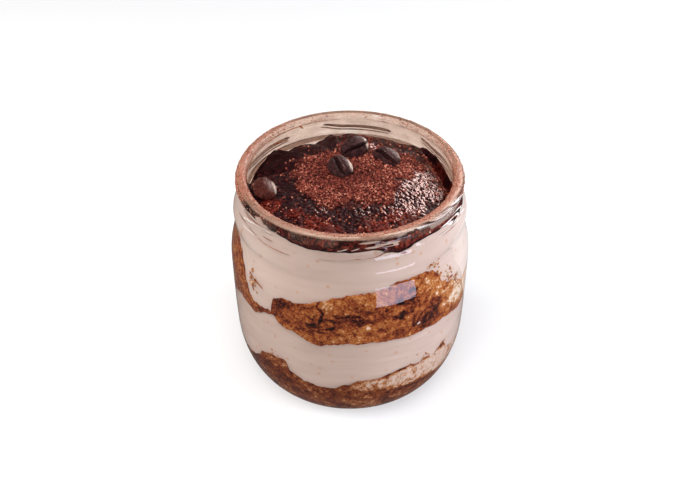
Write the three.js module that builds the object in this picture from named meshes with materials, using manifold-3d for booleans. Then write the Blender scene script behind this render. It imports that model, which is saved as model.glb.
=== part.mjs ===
// Layered tiramisu in a clear glass twist-off jar, with four coffee beans on top.
//
// Millimetres, +Z up. The origin is the middle of the underside. An azimuth of 0 degrees faces
// -Y, the front, and 90 degrees faces +X. The jar and every layer have the same columns round
// the axis, so that facets that face each other are parallel and keep an even gap.

import * as THREE from 'three';
import Module from 'manifold-3d';
import { mergeVertices } from 'three/addons/utils/BufferGeometryUtils.js';

const wasm = await Module();
wasm.setup();

// ---- Driving dimensions ----

const COLUMNS = 60;             // facets round the axis
const GAP = 0.3;                // clearance between neighbouring pieces

// Jar, outside
const JAR_HEIGHT = 85.3;
const BODY_RADIUS = 42.5;
const BASE_RADIUS = 28.3;       // outer edge of the flat ring that the jar stands on
const BASE_RING = 4.8;          // width of that ring
const PUSH_UP = 1.4;            // rise of the underside's middle
const HEEL_RADIUS = 42.25;      // where the rounded heel meets the upright wall
const HEEL_HEIGHT = 24.7;
const NECK_RADIUS = 38.4;

// Jar, inside
const FLOOR_RADIUS = 28;
const FLOOR_HEIGHT = 5;         // thickness of the glass under the food
const INNER_HEEL_RADIUS = 39.2;
const INNER_HEEL_HEIGHT = 20;   // rise of the inner heel above the floor
const MOUTH_RADIUS = 35.3;

// Lugs that hold a twist-off lid: flat slanting ridges, each curling up at its right end
const LUG_COUNT = 6;
const LUG_SPAN = 50;            // degrees
const LUG_MIDDLE = -4;          // azimuth of the front lug's middle
const LUG_HEIGHT = 78;          // height of the ridge line at the lug's left end
const LUG_SLANT = 0.5;
const LUG_CURL = 1.3;
const LUG_DEPTH = 0.9;          // how far the ridge stands out of the neck
const LUG_HALF_WIDTH = 1.2;

// Layers: height of each boundary on the jar's axis
const LOWER_SPONGE_MIDDLE = 24;
const LOWER_CREAM_MIDDLE = 43;
const UPPER_SPONGE_MIDDLE = 58;
const UPPER_CREAM_MIDDLE = 79.3;
const DOME_TOP = 83.6;
const SWELL = 0.8;              // soft unevenness of a boundary away from the glass
const LAYER_RINGS = [0.3, 0.6, 0.85];
const SPONGE_CRAG = 1.3;        // how deep the sponge's broken edge retreats from the glass
const CREAM_CRAG = 0.1;

// Chocolate top: a dome that stands clear of the glass along a trough on the right
const DOME_RINGS = [0.97, 0.935, 0.89, 0.83, 0.74, 0.62, 0.48, 0.32, 0.15];
const DOME_POWER = 2.3;         // higher keeps the dome flatter towards its edge
const TROUGH_SHARE = 0.945;     // where the trough's bottom lies, as a share of the radius
const TROUGH_WIDTH = 0.04;
const TOP_CRAG = 0.22;

// Lumps of cocoa powder on the dome
const COCOA_LUMPS = 34;
const COCOA_PATCH = { x: 3, y: -4, radius: 22 };
const LUMP_RADIUS = [0.55, 0.95];
const LUMP_FLATNESS = 0.7;
const LUMP_TO_BEAN = 6.8;       // lumps stay this far from a bean's middle

// Coffee beans: x and y of the middle, how far the middle stands above the dome, the heading of
// the crease, how far the creased side leans to the bean's own right, and its nose-down pitch
const BEAN_LENGTH = 10.4;
const BEAN_WIDTH = 8;
const BEAN_BACK = 3;            // from the widest level down to the round back
const BEAN_CROWN = 1.9;         // from the widest level up over the creased side
const BEAN_CREASE_FLOOR = -0.1; // bottom of the crease, as a share of the back
const BEAN_STATIONS = 10;
const BEAN_POCKET = 1.1;        // a pocket in the dome is this much larger than its bean
const BEANS = [
  { x: 1.4, y: 14.6, lift: 2, heading: 36, lean: 22, pitch: 0 },
  { x: -3.5, y: 1.8, lift: 1.9, heading: -66, lean: 30, pitch: 6 },
  { x: 12.8, y: 8.9, lift: 1.8, heading: -50, lean: -8, pitch: 6 },
  { x: -28.3, y: -9, lift: 1.6, heading: 98, lean: 190, pitch: 0 },
];

// Where each layer's upper edge meets the glass: pairs of azimuth in degrees and height
const LOWER_SPONGE_EDGE = [
  [-170, 24], [-140, 27], [-110, 22.5], [-85, 19.5], [-60, 19], [-41, 26], [-25, 21], [-9, 19.6],
  [6, 24], [32, 26.8], [53, 22.4], [80, 21], [105, 25], [130, 22], [155, 26.5],
];
const LOWER_CREAM_EDGE = [
  [-160, 42], [-130, 44.5], [-105, 42], [-85, 40.5], [-65, 44], [-52, 43.2], [-39, 47.4],
  [-28, 43.5], [-13, 40.8], [6, 42.5], [35, 41.1], [50, 40.6], [66, 37.8], [90, 40], [120, 43],
  [150, 41],
];
const UPPER_SPONGE_EDGE = [
  [-165, 60], [-140, 57.5], [-115, 61], [-90, 62], [-68, 61], [-50, 48], [-43, 49.6],
  [-36, 55.6], [-20, 57.3], [-6, 61.2], [10, 62.4], [25, 65], [43, 64], [51, 57], [64, 50.8],
  [80, 51.5], [100, 56], [125, 60], [150, 56.5],
];
const UPPER_CREAM_EDGE = [
  [-180, 70.5], [-150, 69.5], [-120, 71], [-95, 75], [-70, 79], [-40, 80.2], [-26, 78.4],
  [-12, 78], [8, 78.8], [28, 76], [45, 77], [65, 75.5], [88, 73.5], [115, 71.5], [145, 70.5],
];
const CHOCOLATE_EDGE = [
  [-180, 75.7], [-160, 73.6], [-143, 73.4], [-130, 77], [-112, 74.8], [-92, 79], [-62, 82.4],
  [-30, 82.4], [0, 82], [30, 81.4], [62, 80.6], [90, 79], [110, 76.4], [127, 78], [152, 74.9],
];
const TROUGH_DEPTH = [
  [-180, 0.2], [-125, 0.4], [-95, 1.2], [-65, 0.8], [-30, 0.2], [25, 0.3], [50, 2.4], [70, 3.6],
  [105, 3.4], [130, 2], [150, 0.4],
];

// ---- Geometry helpers ----

// A repeatable random draw between 0 and 1.
function seeded(seed) {
  let state = seed;
  return () => {
    state = (state * 1664525 + 1013904223) % 4294967296;
    return state / 4294967296;
  };
}

// Height at an azimuth, eased between the keys on either side of it and joined past 180 degrees.
function along(keys, azimuth) {
  const degrees = azimuth > 180 ? azimuth - 360 : azimuth;
  const after = keys.findIndex(([at]) => at > degrees);
  const [fromAzimuth, fromHeight] = keys.at(after - 1 < 0 ? -1 : after - 1);
  const [toAzimuth, toHeight] = keys[Math.max(after, 0)];
  const span = (toAzimuth - fromAzimuth + 360) % 360;
  const share = ((degrees - fromAzimuth + 360) % 360) / span;
  return THREE.MathUtils.lerp(fromHeight, toHeight, share * share * (3 - 2 * share));
}

// Quarter of an ellipse from a flat floor up to an upright wall, as [radius, height] points.
function heel(floorRadius, wallRadius, floorHeight, rise, steps) {
  return Array.from({ length: steps + 1 }, (_, step) => {
    const angle = (step / steps) * Math.PI / 2;
    const radius = floorRadius + (wallRadius - floorRadius) * Math.sin(angle);
    return [radius, floorHeight + rise * (1 - Math.cos(angle))];
  });
}

// A closed skin of rows of points round an axis. The first and the last row are single points,
// and pointAt gives each point's place; the lathe geometry supplies the faces. The first
// mirroredRows rows of faces are split along their other diagonal.
function closedSkin(columns, rows, pointAt, mirroredRows = 0) {
  const axis = Array.from({ length: rows }, (_, row) => new THREE.Vector2(1, row));
  const geometry = new THREE.LatheGeometry(axis, columns);
  const position = geometry.getAttribute('position');
  for (let column = 0; column <= columns; column += 1) {
    for (let row = 0; row < rows; row += 1) {
      position.setXYZ(column * rows + row, ...pointAt(column % columns, row));
    }
  }
  const faces = geometry.getIndex().array;
  for (let column = 0; column < columns; column += 1) {
    for (let row = 0; row < mirroredRows; row += 1) {
      const first = 6 * (column * (rows - 1) + row);
      const [a, b, d, c] = faces.slice(first, first + 4);
      faces.set([a, b, c, a, c, d], first);
    }
  }
  return geometry;
}

// A body turned round the jar's axis. profileAt(azimuth) gives its [radius, height] points from
// the middle of the underside, out and up, and back to the middle of the top.
function turned(profileAt, mirroredRows) {
  const profiles = Array.from({ length: COLUMNS }, (_, column) => profileAt(360 * column / COLUMNS));
  const pointAt = (column, row) => {
    const [radius, height] = profiles[column][row];
    const angle = 2 * Math.PI * column / COLUMNS;
    return [radius * Math.sin(angle), -radius * Math.cos(angle), height];
  };
  return closedSkin(COLUMNS, profiles[0].length, pointAt, mirroredRows);
}

// A three.js geometry as a manifold-3d solid, with its shared vertices merged and the faces that
// a pole has squeezed flat left out.
function toSolid(geometry) {
  const bare = geometry.clone();
  bare.deleteAttribute('normal');
  bare.deleteAttribute('uv');
  const merged = mergeVertices(bare, 1e-4);
  const corners = Array.from(merged.index.array);
  const faces = [];
  for (let first = 0; first < corners.length; first += 3) {
    const [a, b, c] = corners.slice(first, first + 3);
    if (a !== b && b !== c && c !== a) {
      faces.push(a, b, c);
    }
  }
  const mesh = new wasm.Mesh({
    numProp: 3,
    vertProperties: new Float32Array(merged.getAttribute('position').array),
    triVerts: new Uint32Array(faces),
  });
  return new wasm.Manifold(mesh);
}

function toGeometry(solid) {
  const mesh = solid.getMesh();
  const geometry = new THREE.BufferGeometry();
  geometry.setAttribute('position', new THREE.BufferAttribute(mesh.vertProperties, 3));
  geometry.setIndex(new THREE.BufferAttribute(mesh.triVerts, 1));
  geometry.computeVertexNormals();
  return geometry;
}

// ---- Glass jar ----

// Inside of the wall from the floor's edge to the mouth, as [radius, height] points.
const INNER_WALL = [
  ...heel(FLOOR_RADIUS, INNER_HEEL_RADIUS, FLOOR_HEIGHT, INNER_HEEL_HEIGHT, 4),
  [39.5, 42],
  [39.4, 54],
  [38.9, 59],
  [37.7, 63],
  [36.9, 67],
  [36.3, 73.5],
  [35.7, 79],
  [MOUTH_RADIUS, 83.2],
];

// Radius of the inside of the wall at a height between the floor and the mouth.
function innerRadius(height) {
  const above = INNER_WALL.findIndex(([, wallHeight]) => wallHeight > height);
  const [upperRadius, upperHeight] = INNER_WALL[above];
  const [lowerRadius, lowerHeight] = INNER_WALL[above - 1];
  const share = (height - lowerHeight) / (upperHeight - lowerHeight);
  return THREE.MathUtils.lerp(lowerRadius, upperRadius, share);
}

// The lug at an azimuth: the height of its ridge line, and how far it stands out of the neck.
function lugAt(azimuth) {
  const pitch = 360 / LUG_COUNT;
  const fromLeftEnd = (azimuth - LUG_MIDDLE + LUG_SPAN / 2 + 360) % pitch;
  const share = Math.min(fromLeftEnd / LUG_SPAN, 1);
  const curl = THREE.MathUtils.smoothstep(share, 0.65, 1);
  const leftEnd = THREE.MathUtils.smoothstep(share, 0, 0.2);
  const rightEnd = 1 - THREE.MathUtils.smoothstep(share, 0.85, 1);
  return {
    height: LUG_HEIGHT + LUG_SLANT * share + LUG_CURL * curl,
    depth: LUG_DEPTH * leftEnd * rightEnd,
  };
}

// The jar from the middle of its underside over the heel, the wall, the shoulder, the collar
// bead, the lug and the rolled rim, and down the inside to the middle of its floor.
function jarProfile(azimuth) {
  const lug = lugAt(azimuth);
  return [
    [0, PUSH_UP],
    [BASE_RADIUS - BASE_RING, 0],
    ...heel(BASE_RADIUS, HEEL_RADIUS, 0, HEEL_HEIGHT, 6),
    [BODY_RADIUS, 36],
    [BODY_RADIUS, 51],
    [42, 58],
    [40.6, 63.5],
    [39.9, 66.5],
    [40.4, 72],
    [39.2, 74.6],
    [NECK_RADIUS, lug.height - LUG_HALF_WIDTH],
    [NECK_RADIUS + lug.depth, lug.height],
    [NECK_RADIUS - 0.1, lug.height + LUG_HALF_WIDTH],
    [NECK_RADIUS, 81.4],
    [38.6, 82.8],
    [38.1, 84.4],
    [36.4, JAR_HEIGHT],
    [35.5, 84.7],
    ...INNER_WALL.toReversed(),
    [0, FLOOR_HEIGHT],
  ];
}

// ---- Layers of cream and sponge ----

// A boundary surface: height at an azimuth and at a share of the radius. It runs from one middle
// height out to the keys at the glass, with soft swells on the way.
function boundary(keys, middle) {
  return (azimuth, share) => {
    const bend = (along(keys, azimuth) - middle) * share ** 2;
    const wave = Math.sin(THREE.MathUtils.degToRad(3 * azimuth) + middle);
    return middle + bend + SWELL * wave * 4 * share * (1 - share);
  };
}

const floor = () => FLOOR_HEIGHT + GAP / 2;
const lowerSpongeTop = boundary(LOWER_SPONGE_EDGE, LOWER_SPONGE_MIDDLE);
const lowerCreamTop = boundary(LOWER_CREAM_EDGE, LOWER_CREAM_MIDDLE);
const upperSpongeTop = boundary(UPPER_SPONGE_EDGE, UPPER_SPONGE_MIDDLE);
const upperCreamTop = boundary(UPPER_CREAM_EDGE, UPPER_CREAM_MIDDLE);

// A layer from one boundary surface up to the next, with half a gap kept to each. Its edge
// follows the glass, and the rows between its lower and upper corner retreat by a random crag.
// Its underside is split like the face of the layer below, so that both keep the gap everywhere.
function layer({ lower, upper, lowerRings, upperRings, edgeRows, crag, relief = 0, seed }) {
  const random = seeded(seed);
  return turned((azimuth) => {
    const bottom = lower(azimuth, 1) + GAP / 2;
    const top = upper(azimuth, 1) - GAP / 2;
    const bottomRadius = innerRadius(lower(azimuth, 1)) - GAP;
    const topRadius = innerRadius(upper(azimuth, 1)) - GAP;
    const underside = [0, ...lowerRings].map((share) => [
      share * bottomRadius,
      lower(azimuth, share) + GAP / 2,
    ]);
    const edge = Array.from({ length: edgeRows }, (_, row) => {
      const height = THREE.MathUtils.lerp(bottom, top, (row + 1) / (edgeRows + 1));
      return [innerRadius(height) - GAP - crag * random(), height];
    });
    const face = upperRings.map((share) => [
      share * topRadius,
      upper(azimuth, share) - GAP / 2 + relief * (random() - 0.5),
    ]);
    return [
      ...underside,
      [bottomRadius, bottom],
      ...edge,
      [topRadius, top],
      ...face,
      [0, upper(azimuth, 0) - GAP / 2],
    ];
  }, lowerRings.length + 1);
}

function lowerSponge() {
  return layer({
    lower: floor,
    upper: lowerSpongeTop,
    lowerRings: [],
    upperRings: LAYER_RINGS.toReversed(),
    edgeRows: 5,
    crag: SPONGE_CRAG,
    seed: 3,
  });
}

function lowerCream() {
  return layer({
    lower: lowerSpongeTop,
    upper: lowerCreamTop,
    lowerRings: LAYER_RINGS,
    upperRings: LAYER_RINGS.toReversed(),
    edgeRows: 2,
    crag: CREAM_CRAG,
    seed: 5,
  });
}

function upperSponge() {
  return layer({
    lower: lowerCreamTop,
    upper: upperSpongeTop,
    lowerRings: LAYER_RINGS,
    upperRings: LAYER_RINGS.toReversed(),
    edgeRows: 4,
    crag: SPONGE_CRAG,
    seed: 7,
  });
}

function upperCream() {
  return layer({
    lower: upperSpongeTop,
    upper: upperCreamTop,
    lowerRings: LAYER_RINGS,
    upperRings: LAYER_RINGS.toReversed(),
    edgeRows: 4,
    crag: CREAM_CRAG,
    seed: 11,
  });
}

// ---- Coffee beans ----

// Outline across a bean, from one edge over the creased side and back round the underside, as
// shares of the half width and of the crown above, or the round back below, the widest level.
const beanSection = (creaseFloor) => [
  [1, 0], [0.62, 0.8], [0.17, 1], [0, creaseFloor], [-0.17, 1], [-0.62, 0.8],
  [-1, 0], [-0.86, -0.5], [-0.5, -0.87], [0, -1], [0.5, -0.87], [0.86, -0.5],
];

// A bean lying along X with its creased side up. The crease bends in a slight S, and a floor of
// 1 fills it.
function beanShape(creaseFloor) {
  const section = beanSection(creaseFloor);
  return closedSkin(section.length, BEAN_STATIONS + 1, (column, row) => {
    const angle = Math.PI * row / BEAN_STATIONS;
    const girth = row === 0 || row === BEAN_STATIONS ? 0 : Math.sin(angle) ** 0.75;
    const [across, up] = section[column];
    const crease = 0.12 * Math.sin(2 * angle) * (1 - Math.abs(across));
    const height = up * (up > 0 ? BEAN_CROWN : BEAN_BACK);
    return [
      -Math.cos(angle) * BEAN_LENGTH / 2,
      (across + crease) * girth * BEAN_WIDTH / 2,
      height * girth,
    ];
  });
}

// Where a bean lies: turned to its heading, then pitched and leant, with its middle over the dome.
function beanPlace({ x, y, lift, heading, lean, pitch }) {
  const turn = new THREE.Euler(
    THREE.MathUtils.degToRad(lean),
    THREE.MathUtils.degToRad(pitch),
    THREE.MathUtils.degToRad(heading),
    'ZYX',
  );
  const place = new THREE.Matrix4().makeRotationFromEuler(turn);
  return place.setPosition(x, y, domeAt(x, y) + lift);
}

// ---- Chocolate top with cocoa ----

// Height of the dome: it falls from its middle to the keys at the glass, less the trough.
function domeTop(azimuth, share) {
  const fall = (along(CHOCOLATE_EDGE, azimuth) - DOME_TOP) * share ** DOME_POWER;
  const fromTrough = (share - TROUGH_SHARE) / TROUGH_WIDTH;
  return DOME_TOP + fall - along(TROUGH_DEPTH, azimuth) * Math.exp(-(fromTrough ** 2));
}

// Height of the dome over a point of the plan.
function domeAt(x, y) {
  const azimuth = THREE.MathUtils.radToDeg(Math.atan2(x, -y));
  const share = Math.hypot(x, y) / (innerRadius(along(CHOCOLATE_EDGE, azimuth)) - GAP);
  return domeTop(azimuth, share);
}

// Lumps of cocoa half sunk in the dome, spread evenly over the dusted patch on a sunflower spiral.
function cocoaLumps() {
  const random = seeded(19);
  const lumps = [];
  for (let index = 0; index < COCOA_LUMPS; index += 1) {
    const reach = COCOA_PATCH.radius * Math.sqrt((index + 0.5) / COCOA_LUMPS);
    const angle = index * Math.PI * (3 - Math.sqrt(5)) + 0.3 * random();
    const x = COCOA_PATCH.x + reach * Math.cos(angle);
    const y = COCOA_PATCH.y + reach * Math.sin(angle);
    const radius = THREE.MathUtils.lerp(...LUMP_RADIUS, random());
    const lump = new THREE.IcosahedronGeometry(radius, 0);
    lump.rotateX(Math.PI * random());
    lump.scale(1, 1, LUMP_FLATNESS);
    lump.rotateZ(Math.PI * random());
    lump.translate(x, y, domeAt(x, y));
    if (BEANS.every((bean) => Math.hypot(bean.x - x, bean.y - y) > LUMP_TO_BEAN)) {
      lumps.push(toSolid(lump));
    }
  }
  return lumps;
}

function chocolateTop() {
  let top = toSolid(layer({
    lower: upperCreamTop,
    upper: domeTop,
    lowerRings: LAYER_RINGS,
    upperRings: DOME_RINGS,
    edgeRows: 1,
    crag: CREAM_CRAG,
    relief: TOP_CRAG,
    seed: 13,
  }));
  for (const lump of cocoaLumps()) {
    top = top.add(lump);
  }
  for (const bean of BEANS) {
    const pocket = beanShape(1);
    pocket.scale(BEAN_POCKET, BEAN_POCKET, BEAN_POCKET);
    pocket.applyMatrix4(beanPlace(bean));
    top = top.subtract(toSolid(pocket));
  }
  return toGeometry(top);
}

// ---- Materials and assembly ----

const glass = new THREE.MeshStandardMaterial({
  color: 0xe9efec,
  roughness: 0.05,
  metalness: 0,
  transparent: true,
  opacity: 0.35,
});
const soakedSponge = new THREE.MeshStandardMaterial({ color: 0x653b26, roughness: 0.75, metalness: 0 });
const sponge = new THREE.MeshStandardMaterial({ color: 0x85502f, roughness: 0.8, metalness: 0 });
const cream = new THREE.MeshStandardMaterial({ color: 0xe6d4c9, roughness: 0.5, metalness: 0 });
const chocolate = new THREE.MeshStandardMaterial({ color: 0x4d2823, roughness: 0.35, metalness: 0 });
const roastedBean = new THREE.MeshStandardMaterial({ color: 0x3c2624, roughness: 0.45, metalness: 0 });

function piece(name, geometry, material) {
  const mesh = new THREE.Mesh(geometry, material);
  mesh.name = name;
  return mesh;
}

const tiramisu = new THREE.Group();
tiramisu.add(piece('jar', turned(jarProfile), glass));
tiramisu.add(piece('sponge_lower', lowerSponge(), soakedSponge));
tiramisu.add(piece('cream_lower', lowerCream(), cream));
tiramisu.add(piece('sponge_upper', upperSponge(), sponge));
tiramisu.add(piece('cream_upper', upperCream(), cream));
tiramisu.add(piece('chocolate_top', chocolateTop(), chocolate));
BEANS.forEach((bean, index) => {
  const mesh = piece(`coffee_bean_${index + 1}`, beanShape(BEAN_CREASE_FLOOR), roastedBean);
  mesh.applyMatrix4(beanPlace(bean));
  tiramisu.add(mesh);
});

export default tiramisu;
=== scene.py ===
import math

import bpy
import numpy as np
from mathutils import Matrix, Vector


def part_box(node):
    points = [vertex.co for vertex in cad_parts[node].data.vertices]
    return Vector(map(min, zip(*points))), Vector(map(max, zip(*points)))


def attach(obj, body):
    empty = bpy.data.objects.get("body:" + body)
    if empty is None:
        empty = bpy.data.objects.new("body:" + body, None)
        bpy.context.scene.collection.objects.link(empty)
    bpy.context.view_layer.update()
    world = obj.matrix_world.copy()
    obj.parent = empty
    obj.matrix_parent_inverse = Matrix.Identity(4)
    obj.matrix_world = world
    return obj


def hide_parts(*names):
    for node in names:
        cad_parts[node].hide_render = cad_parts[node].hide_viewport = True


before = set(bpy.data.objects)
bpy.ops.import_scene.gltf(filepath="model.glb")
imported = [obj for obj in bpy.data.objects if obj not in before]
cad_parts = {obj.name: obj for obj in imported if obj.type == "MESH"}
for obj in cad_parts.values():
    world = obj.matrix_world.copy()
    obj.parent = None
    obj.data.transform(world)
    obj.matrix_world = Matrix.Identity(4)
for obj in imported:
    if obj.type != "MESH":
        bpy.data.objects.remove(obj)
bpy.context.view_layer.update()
MM = 0.001


# ---- Glass jar ----
# A clear preserving jar of soda-lime glass for a twist-off lid. It is pressed in a mould: thick
# under the food, with a rounded heel, a shoulder, a collar bead, six slanting lugs and a rim that
# was fire-polished round.

_, jar_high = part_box("jar")
BODY_RADIUS = jar_high.x / MM
JAR_HEIGHT = jar_high.z / MM
RING_RADIUS = 28.3      # of the flat ring that the jar stands on, where the heel begins
HEEL_RADIUS = BODY_RADIUS - 0.25
HEEL_RISE = 24.7
NECK_RADIUS = BODY_RADIUS - 4.1
FLOOR_RADIUS = 28       # of the flat floor inside
FLOOR_HEIGHT = 5
INNER_HEEL_RISE = 20
MOUTH_RADIUS = 35.3
GLASS_COLUMNS = 240
GLASS_STEP = 0.22       # between the outline's points from the shoulder up
LUG_COUNT = 6
LUG_SPAN = 50           # degrees
LUG_MIDDLE = -4
LUG_HEIGHT = 77.2       # of its sharp lower edge
LUG_SLANT = 0.5
LUG_CURL = 2            # each lug curls up at its right end
LUG_DEPTH = 0.9
LUG_UNDERSIDE = 0.5     # how far down its lower edge takes to rise
LUG_SLOPE = 2.4         # how far up it takes to fade
NECK_FROM = 70          # the lugs stand on the glass above this height


def heel(floor_radius, wall_radius, floor_height, rise, steps=12):
    """Quarter of an ellipse from a flat floor up to an upright wall, as radius and height."""
    angle = np.linspace(0, math.pi / 2, steps + 1)
    radius = floor_radius + (wall_radius - floor_radius) * np.sin(angle)
    return np.column_stack([radius, floor_height + rise * (1 - np.cos(angle))])


def cut_corners(line, passes):
    """Rounds an outline: each pass puts two points at a quarter and at three quarters of every
    stretch between two points, and keeps the ends."""
    for _ in range(passes):
        near = 0.75 * line[:-1] + 0.25 * line[1:]
        far = 0.25 * line[:-1] + 0.75 * line[1:]
        between = np.stack([near, far], axis=1).reshape(-1, 2)
        line = np.vstack([line[:1], between, line[-1:]])
    return line


def evenly(line, step):
    """An outline with its points at even steps along it."""
    reach = np.concatenate([[0], np.cumsum(np.hypot(*np.diff(line, axis=0).T))])
    at = np.linspace(0, reach[-1], round(reach[-1] / step) + 1)
    return np.column_stack([np.interp(at, reach, column) for column in line.T])


def ease(share):
    """0 below 0 and 1 above 1, with a soft S between."""
    share = np.clip(share, 0, 1)
    return share * share * (3 - 2 * share)


def turned(azimuth, radius, height, *marks):
    """Points at an azimuth in degrees, a radius and a height, with any further numbers behind
    them. Azimuth 0 faces -Y, the front, and 90 faces +X."""
    angle = np.radians(azimuth)
    numbers = [radius * np.sin(angle), -radius * np.cos(angle), height, *marks]
    return np.stack(np.broadcast_arrays(*numbers), axis=-1)


def skin(rings, hoop=False):
    """Points and triangles of a closed skin over rows of points that each close round. The first
    and the last row are single points or, in a hoop, the last row is joined to the first. The
    faces are turned round if they enclose less than nothing, so that they point outwards."""
    rows, columns = rings.shape[:2]
    if hoop:
        index = np.arange(rows * columns).reshape(rows, columns)
        index = np.vstack([index, index[:1]])
        points = rings.reshape(-1, rings.shape[2])
    else:
        last = 1 + (rows - 2) * columns
        index = np.arange(1, last).reshape(rows - 2, columns)
        index = np.vstack([np.zeros((1, columns), int), index, np.full((1, columns), last)])
        inner = rings[1:-1].reshape(-1, rings.shape[2])
        points = np.vstack([rings[0, :1], inner, rings[-1, :1]])
    beside = np.roll(index, -1, axis=1)
    one_half = np.stack([index[:-1], beside[:-1], beside[1:]], axis=-1).reshape(-1, 3)
    other_half = np.stack([index[:-1], beside[1:], index[1:]], axis=-1).reshape(-1, 3)
    faces = np.concatenate([one_half, other_half])
    apart = (faces != np.roll(faces, 1, axis=1)).all(axis=1)
    faces = faces[apart]
    corners = points[faces, :3]
    volume = np.einsum("ij,ij", corners[:, 0], np.cross(corners[:, 1], corners[:, 2]))
    return points, faces if volume > 0 else faces[:, ::-1]


def mesh_piece(name, points, faces, finish, marks=()):
    """An object at the origin from points in millimetres and triangles. The numbers behind a
    point's place go into attributes, one for each name in marks."""
    mesh = bpy.data.meshes.new(name)
    mesh.vertices.add(len(points))
    mesh.vertices.foreach_set("co", (points[:, :3] * MM).astype(np.float32).ravel())
    mesh.loops.add(faces.size)
    mesh.loops.foreach_set("vertex_index", faces.astype(np.int32).ravel())
    mesh.polygons.add(len(faces))
    mesh.polygons.foreach_set("loop_start", np.arange(0, faces.size, 3, dtype=np.int32))
    for column, mark in enumerate(marks, start=3):
        attribute = mesh.attributes.new(mark, "FLOAT", "POINT")
        attribute.data.foreach_set("value", points[:, column].astype(np.float32))
    mesh.update(calc_edges=True)
    mesh.materials.append(finish)
    piece = bpy.data.objects.new(name, mesh)
    bpy.context.scene.collection.objects.link(piece)
    return piece


def colour(code):
    """An sRGB hex colour as linear red, green and blue, with full alpha."""
    parts = [int(code[first:first + 2], 16) / 255 for first in (1, 3, 5)]
    return (*[((part + 0.055) / 1.055) ** 2.4 if part > 0.04045 else part / 12.92
              for part in parts], 1)


def bare_finish(name):
    """A new material with no nodes yet, and its tree."""
    finish = bpy.data.materials.new(name)
    finish.use_nodes = True
    finish.node_tree.nodes.clear()
    return finish, finish.node_tree


def node(tree, kind, inputs=None, stops=None, **settings):
    """Adds a node with its settings. inputs names sockets, by identifier or name, and gives each
    a value or the output that it is linked to. stops are the places and colours of a ramp."""
    made = tree.nodes.new(kind)
    for name, value in settings.items():
        setattr(made, name, value)
    if stops:
        ramp = made.color_ramp.elements
        ramp.remove(ramp[1])
        ramp[0].position, ramp[0].color = stops[0][0], colour(stops[0][1])
        for place, code in stops[1:]:
            ramp.new(place).color = colour(code)
    sockets = {socket.name: socket for socket in reversed(made.inputs)}
    sockets.update({socket.identifier: socket for socket in made.inputs})
    for name, value in (inputs or {}).items():
        if isinstance(value, bpy.types.NodeSocket):
            tree.links.new(value, sockets[name])
        else:
            sockets[name].default_value = value
    return made


under_and_body = np.vstack([
    [[0, 1.4], [12, 1.3], [20, 0.9], [23.5, 0]],
    heel(RING_RADIUS, HEEL_RADIUS, 0, HEEL_RISE),
    [[HEEL_RADIUS + 0.2, 31], [BODY_RADIUS, 38], [BODY_RADIUS, 45], [BODY_RADIUS, 51]],
])
shoulder_to_mouth = np.array([
    [BODY_RADIUS, 51], [42.45, 54.5], [42, 58], [41.3, 61], [40.55, 63.6], [40, 66.2],
    [39.95, 68.2], [40.5, 70.3], [40.5, 72.3], [39.8, 73.8], [38.9, 75.2], [38.5, 76.8],
    [NECK_RADIUS, 78.5], [38.3, 80.3], [38.6, 81.4], [38.9, 82.4], [38.8, 83.5], [38.3, 84.5],
    [37.4, JAR_HEIGHT], [36.3, JAR_HEIGHT], [35.6, 84.9], [MOUTH_RADIUS, 84.1],
    [MOUTH_RADIUS, 83.2],
])
inside_wall = np.vstack([
    [[0, FLOOR_HEIGHT], [20, FLOOR_HEIGHT]],
    heel(FLOOR_RADIUS, 39.2, FLOOR_HEIGHT, INNER_HEEL_RISE),
    [[39.4, 33], [39.5, 42], [39.5, 49], [39.4, 54], [38.9, 59], [37.7, 63], [36.9, 67],
     [36.5, 70.5], [36.3, 73.5], [35.9, 76.5], [35.65, 79], [MOUTH_RADIUS, 83.2]],
])
wall = cut_corners(inside_wall, 2)
outline = np.vstack([
    cut_corners(under_and_body, 2), evenly(cut_corners(shoulder_to_mouth, 3), GLASS_STEP)[1:],
    wall[-2::-1],
])
glass_azimuth = np.arange(GLASS_COLUMNS) * 360 / GLASS_COLUMNS
lug_share = ((glass_azimuth - LUG_MIDDLE + LUG_SPAN / 2) % (360 / LUG_COUNT)) / LUG_SPAN
lug_height = LUG_HEIGHT + LUG_SLANT * lug_share + LUG_CURL * ease((lug_share - 0.65) / 0.35)
lug_depth = LUG_DEPTH * ease(lug_share / 0.2) * (1 - ease((lug_share - 0.85) / 0.15))
above_lug = outline[:, 1:] - lug_height
on_neck = (outline[:, :1] > NECK_RADIUS - 0.5) * (outline[:, 1:] > NECK_FROM)
ridge = on_neck * lug_depth * ease(1 + above_lug / LUG_UNDERSIDE) * (1 - ease(above_lug / LUG_SLOPE))
jar_rings = turned(glass_azimuth, outline[:, :1] + ridge, outline[:, 1:])

# Clear soda-lime glass, IOR 1.52, fire-polished. Lamps and light that the food scatters pass
# straight through, as thin glass dims them little.
glass, tree = bare_finish("soda_lime_glass")
clear = node(tree, "ShaderNodeBsdfPrincipled", {
    "Base Color": colour("#fdfcfb"), "Roughness": 0.012, "IOR": 1.52, "Transmission Weight": 1,
})
through = node(tree, "ShaderNodeBsdfTransparent", {"Color": colour("#f6f8f7")})
rays = node(tree, "ShaderNodeLightPath")
for_food = node(tree, "ShaderNodeMixShader", {
    "Fac": rays.outputs["Is Diffuse Ray"], "Shader": clear.outputs[0],
    "Shader_001": through.outputs[0],
})
for_lamps = node(tree, "ShaderNodeMixShader", {
    "Fac": rays.outputs["Is Shadow Ray"], "Shader": for_food.outputs[0],
    "Shader_001": through.outputs[0],
})
node(tree, "ShaderNodeOutputMaterial", {"Surface": for_lamps.outputs[0]})

jar = mesh_piece("glass_jar", *skin(jar_rings), glass)
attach(jar, "root")
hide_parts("jar")


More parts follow.
